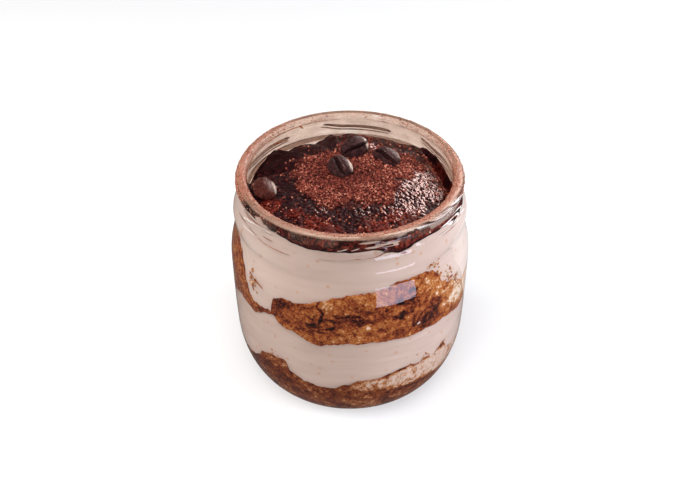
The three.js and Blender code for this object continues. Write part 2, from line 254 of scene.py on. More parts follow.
# ---- Lower sponge ----
# The lowest layer is sponge cake soaked dark with coffee, pressed down on the glass. It is torn
# into pieces, so its upper edge is ragged, and on the right cream has run in between the crumbs.

FOOD_COLUMNS = 640
WALL_RADIUS = 39.3       # of the inside of the glass round most of the food
LOWER_SPONGE_MIDDLE = 24
LOWER_SPONGE_EDGE = [
    [-170, 24], [-140, 27], [-110, 22.5], [-85, 19.5], [-63, 18.5], [-57, 19.6], [-52, 22],
    [-49, 25.4], [-41, 27], [-34, 27.6], [-30.5, 23], [-23, 20.9], [-15, 19.4], [-8, 19.6],
    [-2, 21.8], [5, 23.6], [13, 24], [21, 25.5], [28, 26.8], [35, 25.6], [42, 26.6], [46, 25],
    [50, 26.8], [53, 28], [57, 22.6], [66, 21], [80, 21], [105, 25], [130, 22], [155, 26.5],
]
# Spots of another tone: azimuth, height, half width and half height in millimetres, strength.
LOWER_SPONGE_SPOTS = [
    [-70, 18, 12, 8, -1], [-42, 25.4, 7, 2.6, 0.5], [-30, 18, 14, 5, -0.6], [-8, 17, 6, 2.4, -0.8],
    [6, 21.4, 3.4, 2.4, 1.8], [15, 21, 5, 2.6, 2], [21, 21.4, 5, 4, 2.4], [32, 21.6, 7, 4.6, 4],
    [30, 26.2, 5, 0.7, -2], [45, 21.6, 8, 5, 4], [60, 19.5, 9, 6, 3], [43, 26.8, 4, 0.7, -1.4],
    [37, 15.2, 10, 1, -1.6], [34, 18.8, 8, 0.6, -2], [50, 25.6, 3, 1, -1.6], [-20, 20, 5, 1.6, 0.7],
]
SPONGE_GRIP = 0.15       # how far the crumb's hollows reach into the glass, so no air shows
SPONGE_CRUMB = 1.3       # how much further its crumbs reach
CRUMB_PAINTED_SHADE = 2          # painted shade: how much darker it is for each millimetre that it stands back
CRUMB_LEVEL = 0.75       # from this level

food_azimuth = np.arange(FOOD_COLUMNS) * 360 / FOOD_COLUMNS
wall_step = np.diff(wall, axis=0)
wall_reach = np.concatenate([[0], np.cumsum(np.hypot(*wall_step.T))])
wall_slope = np.gradient(wall, wall_reach, axis=0)
wall_slope /= np.linalg.norm(wall_slope, axis=1, keepdims=True)


def on_wall(reach, into):
    """Radius and height on the inside of the glass, at a distance along it from the middle of
    the floor, pushed into the glass square to it."""
    radius, height, outward, rising = (
        np.interp(reach, wall_reach, column) for column in (*wall.T, *wall_slope.T)
    )
    return radius + into * rising, height - into * outward


def reach_at(height):
    """Distance along the inside of the glass, from the middle of the floor up to a height."""
    return np.interp(height, wall[:, 1], wall_reach)


def along(keys, azimuth):
    """Value at each azimuth, eased between the keys on either side and joined past 180."""
    at, value = np.array(keys, float).T
    at = np.concatenate([at[-1:] - 360, at, at[:1] + 360])
    value = np.concatenate([value[-1:], value, value[:1]])
    azimuth = (azimuth + 180) % 360 - 180
    after = np.clip(np.searchsorted(at, azimuth, side="right"), 1, len(at) - 1)
    share = ease((azimuth - at[after - 1]) / (at[after] - at[after - 1]))
    return value[after - 1] + (value[after] - value[after - 1]) * share


def scrambled(cubes, seed):
    """A random whole number below 2 to the 31st for each cube of a grid: its three indices times
    large primes, mixed with each other and with the seed."""
    x, y, z = np.moveaxis(cubes, -1, 0)
    mixed = (x * 73856093) ^ (y * 19349663) ^ (z * 83492791) ^ (seed * 49979687)
    return ((mixed ^ (mixed >> 13)) * 1274126177) & 0x7FFFFFFF


def noise(points, cell, seed):
    """Soft noise from -1 to 1: a random value at each corner of a grid of cubes, a cell wide,
    blended smoothly in between."""
    place = points[..., :3] / cell + 500
    corner = np.floor(place).astype(np.int64)
    share = place - corner
    share = share * share * (3 - 2 * share)
    total = np.zeros(points.shape[:-1])
    for offset in np.ndindex(2, 2, 2):
        weight = np.where(offset, share, 1 - share).prod(axis=-1)
        total += weight * ((scrambled(corner + offset, seed) >> 8) % 4096 / 2047.5 - 1)
    return total


def middles(points, cell, seed):
    """Distance in cells to the nearest and to the second nearest of scattered middles, one for
    each cube a cell wide, and the nearest one's own random number from -1 to 1."""
    place = points[..., :3] / cell + 500
    corner = np.floor(place).astype(np.int64)
    nearest = np.full(points.shape[:-1], 9.0)
    second = nearest
    own = np.zeros(points.shape[:-1])
    for offset in np.ndindex(3, 3, 3):
        cube = corner + np.array(offset) - 1
        mixed = scrambled(cube, seed) & 0x3FFFFFFF
        middle = np.stack([mixed & 1023, (mixed >> 10) & 1023, (mixed >> 20) & 1023], axis=-1)
        away = np.linalg.norm(cube + middle / 1023 - place, axis=-1)
        second = np.minimum(second, np.maximum(away, nearest))
        own = np.where(away < nearest, mixed % 997 / 498 - 1, own)
        nearest = np.minimum(nearest, away)
    return nearest, second, own


def shaken(points, cell, swing, seed):
    """Points moved by soft noise, each way up to a swing."""
    return points[..., :3] + swing * np.stack(
        [noise(points, cell, seed + way) for way in range(3)], axis=-1)


def clumps(points, cell, seed):
    """Round clumps: 1 at each of the scattered middles, falling to 0 at a cell's width."""
    return 1 - np.minimum(middles(points, cell, seed)[0], 1)


def ragged(azimuth, sizes, seed):
    """Unevenness along an edge on the glass: noise of several cells and swings."""
    ring = turned(azimuth, WALL_RADIUS, seed)
    return sum(swing * noise(ring, cell, seed + 10 * index)
               for index, (cell, swing) in enumerate(sizes))


def spotted(points, spots, seed):
    """Sum of the spots' strengths at points on the glass. A spot is an ellipse that noise pulls
    out of shape, as torn crumb is."""
    pulled = shaken(shaken(points, 3.2, 1, seed), 1, 0.6, seed + 5)
    azimuth = np.degrees(np.arctan2(pulled[..., 0], -pulled[..., 1]))
    total = np.zeros(points.shape[:-1])
    for at, height, half_width, half_height, strength in spots:
        across = ((azimuth - at + 180) % 360 - 180) * math.radians(WALL_RADIUS)
        up = pulled[..., 2] - height
        away = np.hypot(across / half_width, up / half_height)
        total += strength * ease((1.25 - away) / 0.5)
    return np.clip(total, -3.4, 4)


def torn(points, spots, seed):
    """Tone of torn sponge at points on the glass, below 0 where it is dark: its spots, a tone
    for each chunk of 6 mm and for each of 2.4 mm, and painted shade in the seams and cracks between them."""
    bent = shaken(shaken(points, 2.6, 1.1, seed + 4), 0.9, 0.35, seed + 7)
    nearest, second, chunk = middles(bent * [1, 1, 1.3], 6, seed + 1)
    # Painted shade: darkness in the seams between chunks and in the cracks between pieces.
    seam_shade = 1 - ease((second - nearest) / 0.14)
    nearest, second, piece = middles(bent, 2.4, seed + 2)
    crack_shade = 1 - ease((second - nearest) / 0.2)
    return spotted(points, spots, seed + 3) + 0.8 * chunk + 0.5 * piece \
        - 1.3 * seam_shade * (0.6 + 0.4 * chunk) - 0.5 * crack_shade


def layer(lower_edge, lower_middle, upper_edge, upper_middle, side_rows, grip, dips=(0, 0)):
    """Rows of a layer's points: out along its underside, up the glass and back in over its top.
    Each boundary runs from its edge's height to a middle height with the square of the radius,
    less a dip near the glass. grip gives how far each point at the side reaches into the glass,
    which goes behind it as a fourth number. An underside without an edge follows the floor."""
    inwards = np.array([0.97, 0.88, 0.7, 0.45, 0.2, 0])[:, None]
    sunk = np.array([0.8, 1, 0.6, 0.2, 0, 0])[:, None]
    start = 0 if lower_edge is None else reach_at(lower_edge)
    share = np.linspace(0, 1, side_rows)[:, None]
    reach = start + (reach_at(upper_edge) - start) * share
    into = grip(turned(food_azimuth, *on_wall(reach, 0)))
    radius, height = on_wall(reach, into)
    rows = [turned(food_azimuth, radius, height, into)]
    top = upper_middle + (height[-1] - upper_middle) * inwards ** 2 - dips[1] * sunk
    rows.append(turned(food_azimuth, radius[-1] * inwards, top, into[-1]))
    if lower_edge is not None:
        out = inwards[::-1]
        underside = lower_middle + (height[0] - lower_middle) * out ** 2 - dips[0] * sunk[::-1]
        rows.insert(0, turned(food_azimuth, radius[0] * out, underside, into[0]))
    return np.concatenate(rows)


def marked_skin(rings, *marks):
    """Closed skin over a layer's rows of points, with each mark as a further number behind them."""
    return skin(np.dstack([rings[..., :3], *marks]))


def crumb_grip(spots):
    """How far sponge reaches into the glass at points there: its crumbs press in further than its
    hollows, and pale chunks further than dark seams."""
    def grip(points):
        bent = shaken(points, 1.4, 0.6, 24)
        crumbs = 0.45 * clumps(bent, 5.5, 31) + 0.3 * clumps(bent, 2.2, 32) \
            + 0.25 * clumps(bent, 1, 33)
        chunks = 0.1 * np.clip(torn(points, spots, 35), -2, 1)
        return np.maximum(SPONGE_GRIP, SPONGE_GRIP + SPONGE_CRUMB * (crumbs + chunks))
    return grip


def sponge_finish(name, stops):
    """Moist sponge cake, dull and pressed on the glass. The tone attribute runs from soaked dark
    to mixed with cream, with painted shade in its seams and hollows. On it lie soft mottling and crumbs
    of 2.2 mm and 0.7 mm, each with its own tone and with painted shade that darkens it towards its edge."""
    finish, tree = bare_finish(name)
    place = node(tree, "ShaderNodeTexCoord").outputs["Object"]
    tone = node(tree, "ShaderNodeAttribute", attribute_name="tone").outputs["Fac"]
    swirl = node(tree, "ShaderNodeTexNoise", {
        "Vector": place, "Scale": 1 / (1.5 * MM), "Detail": 4, "Roughness": 0.7,
    })
    bent = node(tree, "ShaderNodeVectorMath", {
        "Vector": swirl.outputs["Color"], "Vector_001": [0.8 * MM] * 3, "Vector_002": place,
    }, operation="MULTIPLY_ADD").outputs[0]
    toned = node(tree, "ShaderNodeMath", {
        "Value": tone, "Value_001": 0.13, "Value_002": 0.22,
    }, operation="MULTIPLY_ADD").outputs[0]
    total = node(tree, "ShaderNodeMath", {
        "Value": swirl.outputs["Fac"], "Value_001": 0.8, "Value_002": toned,
    }, operation="MULTIPLY_ADD").outputs[0]
    # Each size of crumb: its own tone, and painted shade that darkens it towards its edge.
    for size, own, edge in ((2.2, 0.18, -0.26), (0.7, 0.2, -0.4)):
        crumbs = node(tree, "ShaderNodeTexVoronoi", {
            "Vector": bent, "Scale": 1 / (size * MM), "Randomness": 1,
        }, feature="F1")
        crumb_tone = node(tree, "ShaderNodeSeparateColor", {"Color": crumbs.outputs["Color"]})
        for output, amount in ((crumb_tone.outputs["Red"], own), (crumbs.outputs["Distance"], edge)):
            total = node(tree, "ShaderNodeMath", {
                "Value": output, "Value_001": amount, "Value_002": total,
            }, operation="MULTIPLY_ADD").outputs[0]
    cake = node(tree, "ShaderNodeValToRGB", {"Fac": total}, stops).outputs["Color"]
    bump = node(tree, "ShaderNodeBump", {
        "Height": total, "Strength": 0.8, "Distance": 0.6 * MM,
    }).outputs["Normal"]
    surface = node(tree, "ShaderNodeBsdfPrincipled", {
        "Base Color": cake, "Roughness": 0.7, "Specular IOR Level": 0.05, "Normal": bump,
    })
    node(tree, "ShaderNodeOutputMaterial", {"Surface": surface.outputs[0]})
    return finish


lower_sponge_edge = along(LOWER_SPONGE_EDGE, food_azimuth) \
    + ragged(food_azimuth, [(3, 0.5), (1.2, 0.35), (0.6, 0.15)], 41)
lower_sponge_rings = layer(
    None, None, lower_sponge_edge, LOWER_SPONGE_MIDDLE, side_rows=110,
    grip=crumb_grip(LOWER_SPONGE_SPOTS),
)
# Its tone, with painted shade where the crumb stands back from the glass.
lower_sponge_tone = torn(lower_sponge_rings, LOWER_SPONGE_SPOTS, 35) \
    + CRUMB_PAINTED_SHADE * (lower_sponge_rings[..., 3] - CRUMB_LEVEL)
soaked_sponge = sponge_finish("coffee_soaked_sponge", [
    (0.04, "#36130a"), (0.24, "#5f2410"), (0.42, "#7b3a1b"), (0.58, "#91502a"), (0.68, "#a9693f"),
    (0.78, "#b98360"), (0.9, "#c49a81"), (1, "#cfb0a0"),
])
lower_sponge = mesh_piece(
    "sponge_lower_crumb", *marked_skin(lower_sponge_rings, lower_sponge_tone), soaked_sponge, ["tone"])
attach(lower_sponge, "root")
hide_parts("sponge_lower")


# ---- Lower cream ----
# Mascarpone cream, spread over the sponge and pressed smooth against the glass. It carries faint
# spreading marks and a few grains of sponge.

CREAM_GRIP = 0.12
TUCK = 1.6               # how far cream carries on behind the ragged edge of its neighbour
LOWER_CREAM_MIDDLE = 43
LOWER_CREAM_EDGE = [
    [-160, 42], [-130, 44.5], [-105, 42], [-85, 40.5], [-75, 41], [-67, 44], [-60, 43.6],
    [-52, 43.1], [-48, 44.5], [-43, 46.8], [-39, 47.6], [-35, 45.2], [-30, 44], [-23, 42.8],
    [-18, 41.2], [-14, 40.6], [-9, 41.3], [0, 42.6], [13, 42.4], [21, 42.1], [29, 41],
    [40, 41.2], [48, 40.9], [56, 39.7], [65, 37.6], [78, 38.5], [90, 40], [120, 43], [150, 41],
]


def cream_grip(points):
    """How far cream reaches into the glass: hardly, with soft swells."""
    return CREAM_GRIP + 0.04 * noise(points, 9, 51)


def spread_marks(points, seed):
    """Faint marks of spreading: noise drawn out round the jar and slightly downhill."""
    azimuth = np.degrees(np.arctan2(points[..., 0], -points[..., 1]))
    rise = points[..., 2] + 0.03 * np.abs(azimuth)
    stretched = points[..., :3] * [0.14, 0.14, 0] + rise[..., None] * [0, 0, 1]
    return 0.6 * noise(stretched, 1.6, seed) + 0.4 * noise(stretched, 0.7, seed + 1)


# Whipped mascarpone cream: smooth and pale, with faint spreading marks from the tone attribute
# and a few soft stains of sponge crumb. Its palest tones are painted: light on the sides of the upper
# cream, and highlights in the white streaks.
cream, tree = bare_finish("mascarpone_cream")
place = node(tree, "ShaderNodeTexCoord").outputs["Object"]
tone = node(tree, "ShaderNodeAttribute", attribute_name="tone").outputs["Fac"]
shade = node(tree, "ShaderNodeMath", {
    "Value": tone, "Value_001": 0.25, "Value_002": 0.5,
}, operation="MULTIPLY_ADD").outputs[0]
spread = node(tree, "ShaderNodeValToRGB", {"Fac": shade}, [
    (0.25, "#b99d90"), (0.5, "#c9aea2"), (0.75, "#d8c0b5"), (1, "#f6ebe6"),
]).outputs["Color"]
stains = node(tree, "ShaderNodeTexVoronoi", {
    "Vector": place, "Scale": 1 / (3.6 * MM), "Randomness": 1,
}, feature="F1")
stain_here = node(tree, "ShaderNodeMapRange", {
    "Value": stains.outputs["Distance"], "From Min": 0.04, "From Max": 0.26, "To Min": 0.65,
    "To Max": 0,
}).outputs["Result"]
some = node(tree, "ShaderNodeMath", {
    "Value": node(tree, "ShaderNodeSeparateColor", {
        "Color": stains.outputs["Color"],
    }).outputs["Red"], "Value_001": 0.55,
}, operation="LESS_THAN").outputs[0]
stained = node(tree, "ShaderNodeMath", {
    "Value": stain_here, "Value_001": some,
}, operation="MULTIPLY").outputs[0]
creamy = node(tree, "ShaderNodeMix", {
    "Factor_Float": stained, "A_Color": spread, "B_Color": colour("#c58a66"),
}, data_type="RGBA").outputs[2]
surface = node(tree, "ShaderNodeBsdfPrincipled", {
    "Base Color": creamy, "Roughness": 0.55, "Specular IOR Level": 0.12,
})
node(tree, "ShaderNodeOutputMaterial", {"Surface": surface.outputs[0]})

lower_cream_edge = along(LOWER_CREAM_EDGE, food_azimuth) \
    + ragged(food_azimuth, [(3.5, 0.45), (1.3, 0.3), (0.6, 0.12)], 52)
lower_cream_rings = layer(
    lower_sponge_edge - TUCK, LOWER_SPONGE_MIDDLE, lower_cream_edge + TUCK, LOWER_CREAM_MIDDLE,
    side_rows=40, grip=cream_grip,
)
lower_cream_tone = 0.5 * spread_marks(lower_cream_rings, 53)
lower_cream = mesh_piece(
    "cream_lower_spread", *marked_skin(lower_cream_rings, lower_cream_tone), cream, ["tone"])
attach(lower_cream, "root")
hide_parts("cream_lower")


# ---- Upper sponge ----
# A second layer of sponge, lighter because it is less soaked. It was torn up and laid in as
# chunks, so its edges jump, and seams and hollows, darkened by painted shade, show between the chunks.

UPPER_SPONGE_MIDDLE = 58
UPPER_SPONGE_EDGE = [
    [-165, 60], [-140, 57.5], [-115, 61], [-100, 64], [-90, 67], [-80, 68], [-74, 66.5],
    [-68, 62.8], [-62, 58], [-58, 53.5], [-55, 49], [-52, 47.2], [-45, 47.6], [-40.5, 48.6],
    [-38.5, 55.4], [-30, 56.3], [-20, 57.3], [-14, 59.1], [-6, 61.2], [0, 62.5], [10, 62.4],
    [18, 63.6], [25, 65], [35, 64.7], [43, 64], [46.5, 61.5], [49, 57.6], [55, 55.2],
    [61, 52], [68, 50], [80, 51.5], [100, 56], [125, 60], [150, 56.5],
]
UPPER_SPONGE_SPOTS = [
    [-80, 58, 10, 14, 0.5], [-34.5, 54.6, 3, 2.6, -1], [-36, 50, 2.4, 3, -0.5],
    [-22, 53.5, 4.5, 3.2, 0.2], [-13.8, 54.6, 0.7, 4.4, -2], [-17, 49.5, 2.6, 1.2, -2.2],
    [-25, 47, 5, 2, -0.9], [-6.5, 57.8, 5, 3.2, 0.8], [-4, 54.3, 6, 0.6, -1.6],
    [0, 52, 8, 1.2, -1.4], [-9.4, 49.2, 1.1, 0.9, -2.6], [13, 48.4, 9, 3.4, 0.8],
    [-8, 44.4, 8, 2, 0.5], [6.5, 59.4, 3.8, 2.6, 0.6],
    [11, 56, 4, 1.8, -0.8], [21.7, 56.4, 6, 1.8, -0.7], [23.4, 52.3, 2.6, 1.2, -3.2],
    [27.6, 48, 2.2, 3.6, 0.7], [31.3, 48, 0.7, 3, -1.8], [31, 55.6, 6, 2.6, -1],
    [39.2, 59.2, 4, 5.2, 1], [46.5, 56, 2.6, 4, 1.8], [38.5, 46.8, 5, 2.4, -1.4],
    [55, 50, 5.5, 5, 2.3], [63, 47, 6, 5, 2.2], [72, 45, 7, 6, 2.1],
    [44, 50.5, 6, 2, -0.9],
]

upper_sponge_edge = along(UPPER_SPONGE_EDGE, food_azimuth) \
    + ragged(food_azimuth, [(3, 0.6), (1.2, 0.4), (0.6, 0.2)], 61)
upper_sponge_rings = layer(
    lower_cream_edge, LOWER_CREAM_MIDDLE, upper_sponge_edge, UPPER_SPONGE_MIDDLE, side_rows=80,
    grip=crumb_grip(UPPER_SPONGE_SPOTS),
)
# Its tone, with painted shade where the crumb stands back from the glass.
upper_sponge_tone = torn(upper_sponge_rings, UPPER_SPONGE_SPOTS, 35) \
    + CRUMB_PAINTED_SHADE * (upper_sponge_rings[..., 3] - CRUMB_LEVEL)
coffee_sponge = sponge_finish("coffee_sponge", [
    (0.02, "#180706"), (0.15, "#4f1b0e"), (0.29, "#753018"), (0.43, "#924824"), (0.57, "#aa5e2e"),
    (0.71, "#b7713a"), (0.85, "#cb966c"), (1, "#ecd2bd"),
])
upper_sponge = mesh_piece(
    "sponge_upper_crumb", *marked_skin(upper_sponge_rings, upper_sponge_tone), coffee_sponge, ["tone"])
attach(upper_sponge, "root")
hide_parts("sponge_upper")


# ---- Upper cream ----
# The same mascarpone cream, spread over the second sponge and pressed smooth against the glass.
# It runs up to the chocolate, and dips where that stands in a trough by the glass.

UPPER_CREAM_MIDDLE = 78.6
UPPER_TUCK = 0.3
UPPER_CREAM_EDGE = [
    [-180, 70.5], [-150, 69.5], [-120, 70.6], [-106, 70.8], [-95, 73.4], [-75, 79.4],
    [-60, 81], [-50, 80.3], [-40, 80.6], [-35, 79.8], [-30, 78.9], [-20, 78], [-10, 78],
    [0, 78.5], [10, 78.8], [20, 77.2], [25, 76.3], [29, 76.6], [35, 77.5], [45, 77],
    [50, 76.6], [65, 75.5], [88, 73.5], [115, 71.5], [145, 70.5],
]
# How pale the cream is painted at each azimuth: whiter at the sides, painted light where the lamps on the
# left and right fall on it.
UPPER_CREAM_PAINTED_LIGHT = [[-120, 0.2], [-60, 0.55], [-25, 0.1], [10, 0], [45, 0], [75, 0.9], [120, 0.2]]
# How far down the chocolate's trough goes by the glass. The cream under it dips as far.
TROUGH_DEPTH = [
    [-180, 0.2], [-125, 0.4], [-95, 1.2], [-65, 0.8], [-30, 0.2], [25, 0.3], [45, 1.6],
    [60, 3.2], [75, 4], [105, 4], [125, 2.4], [150, 0.4],
]

upper_cream_edge = along(UPPER_CREAM_EDGE, food_azimuth) \
    + ragged(food_azimuth, [(5, 0.35), (1.8, 0.2), (0.8, 0.08)], 71)
upper_cream_rings = layer(
    upper_sponge_edge - TUCK, UPPER_SPONGE_MIDDLE, upper_cream_edge + UPPER_TUCK,
    UPPER_CREAM_MIDDLE, side_rows=60, grip=cream_grip,
    dips=(0, along(TROUGH_DEPTH, food_azimuth)),
)
# Spreading marks, and painted light that makes it paler at the sides.
upper_cream_tone = 0.4 * spread_marks(upper_cream_rings, 72) + along(UPPER_CREAM_PAINTED_LIGHT, food_azimuth)
upper_cream = mesh_piece(
    "cream_upper_spread", *marked_skin(upper_cream_rings, upper_cream_tone), cream, ["tone"])
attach(upper_cream, "root")
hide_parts("cream_upper")


# ---- Chocolate dome ----
# Melted chocolate and cocoa, poured on and domed. It has set with a wet shine that dry cocoa
# hides in the middle. On the right it stands clear of the glass behind a deep trough.

DOME_TOP = 83.6
DOME_POWER = 2.3
CHOCOLATE_GRIP = 0.3
CHOCOLATE_EDGE = [
    [-180, 75.7], [-172, 75.2], [-169, 76.1], [-162, 73.9], [-158, 72.6], [-151, 73.8],
    [-146, 74], [-138, 72.5], [-133.5, 74.4], [-130, 77.2], [-126, 76.6], [-120, 75.2],
    [-112, 74.2], [-105, 72.5], [-92, 77.4], [-80, 80.6], [-62, 82.1], [-30, 82.3], [0, 82],
    [30, 81.5], [62, 80.1], [90, 77], [105, 74.8], [112, 76], [122, 77.8], [130, 78], [138, 76.2],
    [150, 74.9], [163, 75.3],
]
# The share of the radius where the dome's shoulder drops into the trough.
SHOULDER_SHARE = [
    [-180, 0.93], [30, 0.93], [60, 0.915], [78, 0.895], [92, 0.865], [103, 0.85], [112, 0.85],
    [122, 0.87], [134, 0.91], [150, 0.93],
]
# Where dry cocoa lies: how far it reaches from its middle at each azimuth.
COCOA_MIDDLE = np.array([2.0, -1.0])
COCOA_REACH = [
    [-157, 18.1], [-136, 18.8], [-113, 20.7], [-97, 21.8], [-65, 20.4], [-45, 19], [-25, 19.8],
    [-7, 16.4], [11, 16], [32, 18], [57, 15.6], [79, 15.3], [99, 19.6], [111, 25.8],
    [124, 25.2], [138, 20.8], [162, 19.5],
]
# Thin reddish dust nearer the glass: x, y, radius and strength.
THIN_DUST = [
    [-26.4, -17.5, 4, 0.8], [-18, -22.5, 3, 0.5], [-11, -27.5, 4.6, 0.7], [-5, -30.5, 3, 0.5],
    [9, -27, 4.5, 0.8], [16, -24.5, 4.5, 0.7], [4, -30.5, 2.6, 0.6], [21, -21, 2.6, 0.4],
    [2, 20.5, 6, 1.2], [12, 17.5, 5, 1], [33, 2, 5, 0.5], [31, 12, 5, 0.4],
]
# How much of that dust lies against the glass at each azimuth.
SIDE_DUST = [[-170, 0.3], [-60, 0.4], [-14, 0.6], [0, 1], [18, 1], [30, 0.85], [50, 0.8], [90, 0.3]]
# Where the chocolate is wettest, and where it lies smooth: x, y, radius and strength.
WET_GLINTS = [
    [25, -7, 8.5, 1], [20, 8, 5, 0.55], [14, -19, 7, 0.5], [27.5, 5, 6, 1],
    [20, -15.5, 7.5, 0.7], [9, 19, 4, 0.5], [-9, -19.5, 4.5, 0.5], [-28, -4, 3, 0.6],
    [4, -21, 4, 0.45], [17, -6, 4, 0.5],
]
SMOOTH_SPOTS = [[21, 0.6, 3.2, 1], [-22, 18, 9, 0.8], [-12, 26, 8, 0.7]]


def flat_spots(x, y, spots, seed):
    """Strongest of the spots at each place of the plan, with uneven edges."""
    place = np.stack(np.broadcast_arrays(x, y, 0), axis=-1)
    uneven = 0.25 * noise(place, 3, seed) + 0.15 * noise(place, 1.1, seed + 1)
    total = np.zeros(place.shape[:-1])
    for at_x, at_y, radius, strength in spots:
        away = np.hypot(x - at_x, y - at_y) / radius
        total = np.maximum(total, strength * ease((1.25 - away - uneven) / 0.6))
    return total


def cocoa_cover(x, y):
    """Share of the dome that dry cocoa hides at each place of the plan."""
    x_off, y_off = x - COCOA_MIDDLE[0], y - COCOA_MIDDLE[1]
    reach = along(COCOA_REACH, np.degrees(np.arctan2(x_off, -y_off)))
    place = np.stack(np.broadcast_arrays(x, y, 0), axis=-1)
    uneven = 2.2 * noise(place, 4, 81) + 1.2 * noise(place, 1.6, 82)
    return ease((reach + 1.4 - np.hypot(x_off, y_off) + uneven) / 3.2)


def dome_form(x, y):
    """Height of the smooth dome: it falls from its middle to its edge on the glass with a power
    of the radius, less the trough between its shoulder and the glass."""
    azimuth = np.degrees(np.arctan2(x, -y))
    edge = along(CHOCOLATE_EDGE, azimuth)
    share = np.hypot(x, y) / on_wall(reach_at(edge), CHOCOLATE_GRIP)[0]
    shoulder = along(SHOULDER_SHARE, azimuth)
    trough = ease((share - shoulder) / 0.045) * (1 - ease((share - 0.95) / 0.05))
    fall = (edge - DOME_TOP) * share ** DOME_POWER
    return DOME_TOP + fall - along(TROUGH_DEPTH, azimuth) * trough


def dome_grain(x, y):
    """Height of the moist grains that cover the dome, finer where it is smooth."""
    place = np.stack(np.broadcast_arrays(x, y, 0), axis=-1)
    calm = 1 - 0.85 * flat_spots(x, y, SMOOTH_SPOTS, 83)
    rough = 1 + 0.5 * flat_spots(x, y, WET_GLINTS, 88)
    return calm * rough * (0.42 * clumps(place, 1.15, 86) + 0.2 * clumps(place, 0.75, 87) - 0.3)


def dome_relief(x, y):
    """Fine height on the dome: soft lumps with moist grains on them."""
    place = np.stack(np.broadcast_arrays(x, y, 0), axis=-1)
    lumps = 0.28 * noise(place, 5, 84) + 0.3 * clumps(place, 3.4, 85) - 0.15
    return lumps + dome_grain(x, y)


def chocolate_grip(points):
    """How far chocolate reaches into the glass."""
    return CHOCOLATE_GRIP + 0.1 * noise(points, 1.2, 89)


# A layer's side without its last six rows, its top: the dome takes their place.
chocolate_side = layer(
    upper_cream_edge, UPPER_CREAM_MIDDLE,
    along(CHOCOLATE_EDGE, food_azimuth) + ragged(food_azimuth, [(2, 0.25), (0.9, 0.15)], 90),
    DOME_TOP, side_rows=22, grip=chocolate_grip, dips=(along(TROUGH_DEPTH, food_azimuth), 0),
)[:-6]
edge_radius = np.hypot(*np.moveaxis(chocolate_side[-1, :, :2], -1, 0))
dome_share = np.concatenate([np.linspace(0.995, 0.7, 44), np.linspace(0.693, 0.02, 66), [0]])
dome_radius = edge_radius * dome_share[:, None]
dome_flat = turned(food_azimuth, dome_radius, 0)
dome_x, dome_y = dome_flat[..., 0], dome_flat[..., 1]
dome_height = dome_form(dome_x, dome_y) + dome_relief(dome_x, dome_y)
to_edge = ease((dome_share[:, None] - 0.97) / 0.025)
dome_height += (chocolate_side[-1, :, 2] - dome_height[0]) * to_edge
chocolate_rings = np.concatenate([
    chocolate_side[..., :3], turned(food_azimuth, dome_radius, dome_height),
])
chocolate_x, chocolate_y = chocolate_rings[..., 0], chocolate_rings[..., 1]
on_top = (np.arange(len(chocolate_rings)) >= len(chocolate_side))[:, None]
cocoa_mark = on_top * cocoa_cover(chocolate_x, chocolate_y)
dust_mark = on_top * flat_spots(chocolate_x, chocolate_y, THIN_DUST, 91)
wet_mark = flat_spots(chocolate_x, chocolate_y, WET_GLINTS, 88) \
    + 0.45 * noise(chocolate_rings, 1.2, 95) - 0.6 * cocoa_mark
grain_mark = on_top * dome_grain(chocolate_x, chocolate_y)


def chocolate_finish(name, roughness, specular):
    """Moist chocolate with cocoa: near-black brown, with a violet cast that is a painted sheen. Where dry
    cocoa lies it is dull and red-brown. Painted shade darkens the gaps between grains, so every grain
    stands paler."""
    finish, tree = bare_finish(name)
    place = node(tree, "ShaderNodeTexCoord").outputs["Object"]
    cocoa = node(tree, "ShaderNodeAttribute", attribute_name="cocoa").outputs["Fac"]
    dust = node(tree, "ShaderNodeAttribute", attribute_name="dust").outputs["Fac"]
    grain = node(tree, "ShaderNodeAttribute", attribute_name="grain").outputs["Fac"]
    mottle = node(tree, "ShaderNodeTexNoise", {
        "Vector": place, "Scale": 1 / (0.8 * MM), "Detail": 3, "Roughness": 0.65,
    }).outputs["Fac"]
    # Painted shade: the higher a grain stands the paler it is, and the gaps between are darker.
    grain_height_shade = node(tree, "ShaderNodeMath", {
        "Value": grain, "Value_001": 1.1, "Value_002": mottle,
    }, operation="MULTIPLY_ADD").outputs[0]
    # Near-black brown; its violet cast is a painted sheen.
    dark = node(tree, "ShaderNodeValToRGB", {"Fac": grain_height_shade}, [
        (0.3, "#120405"), (0.55, "#260d10"), (0.72, "#3a151a"), (0.9, "#642c2b"),
    ]).outputs["Color"]
    powder = node(tree, "ShaderNodeValToRGB", {"Fac": grain_height_shade}, [
        (0.32, "#1e0807"), (0.5, "#5e2721"), (0.72, "#a05646"), (0.9, "#c47e68"),
    ]).outputs["Color"]
    red = node(tree, "ShaderNodeValToRGB", {"Fac": grain_height_shade}, [
        (0.3, "#1a0504"), (0.48, "#52120b"), (0.66, "#852e1e"), (0.85, "#aa573f"),
    ]).outputs["Color"]
    dusted = node(tree, "ShaderNodeMix", {
        "Factor_Float": dust, "A_Color": dark, "B_Color": red,
    }, data_type="RGBA").outputs[2]
    covered = node(tree, "ShaderNodeMix", {
        "Factor_Float": cocoa, "A_Color": dusted, "B_Color": powder,
    }, data_type="RGBA").outputs[2]
    dull = node(tree, "ShaderNodeMapRange", {
        "Value": cocoa, "To Min": roughness, "To Max": 0.85,
    }).outputs["Result"]
    bump = node(tree, "ShaderNodeBump", {
        "Height": mottle, "Strength": 0.6, "Distance": 0.3 * MM,
    }).outputs["Normal"]
    surface = node(tree, "ShaderNodeBsdfPrincipled", {
        "Base Color": covered, "Roughness": dull, "Specular IOR Level": specular,
        "Specular Tint": colour("#ffd2ca"), "Normal": bump,
    })
    node(tree, "ShaderNodeOutputMaterial", {"Surface": surface.outputs[0]})
    return finish


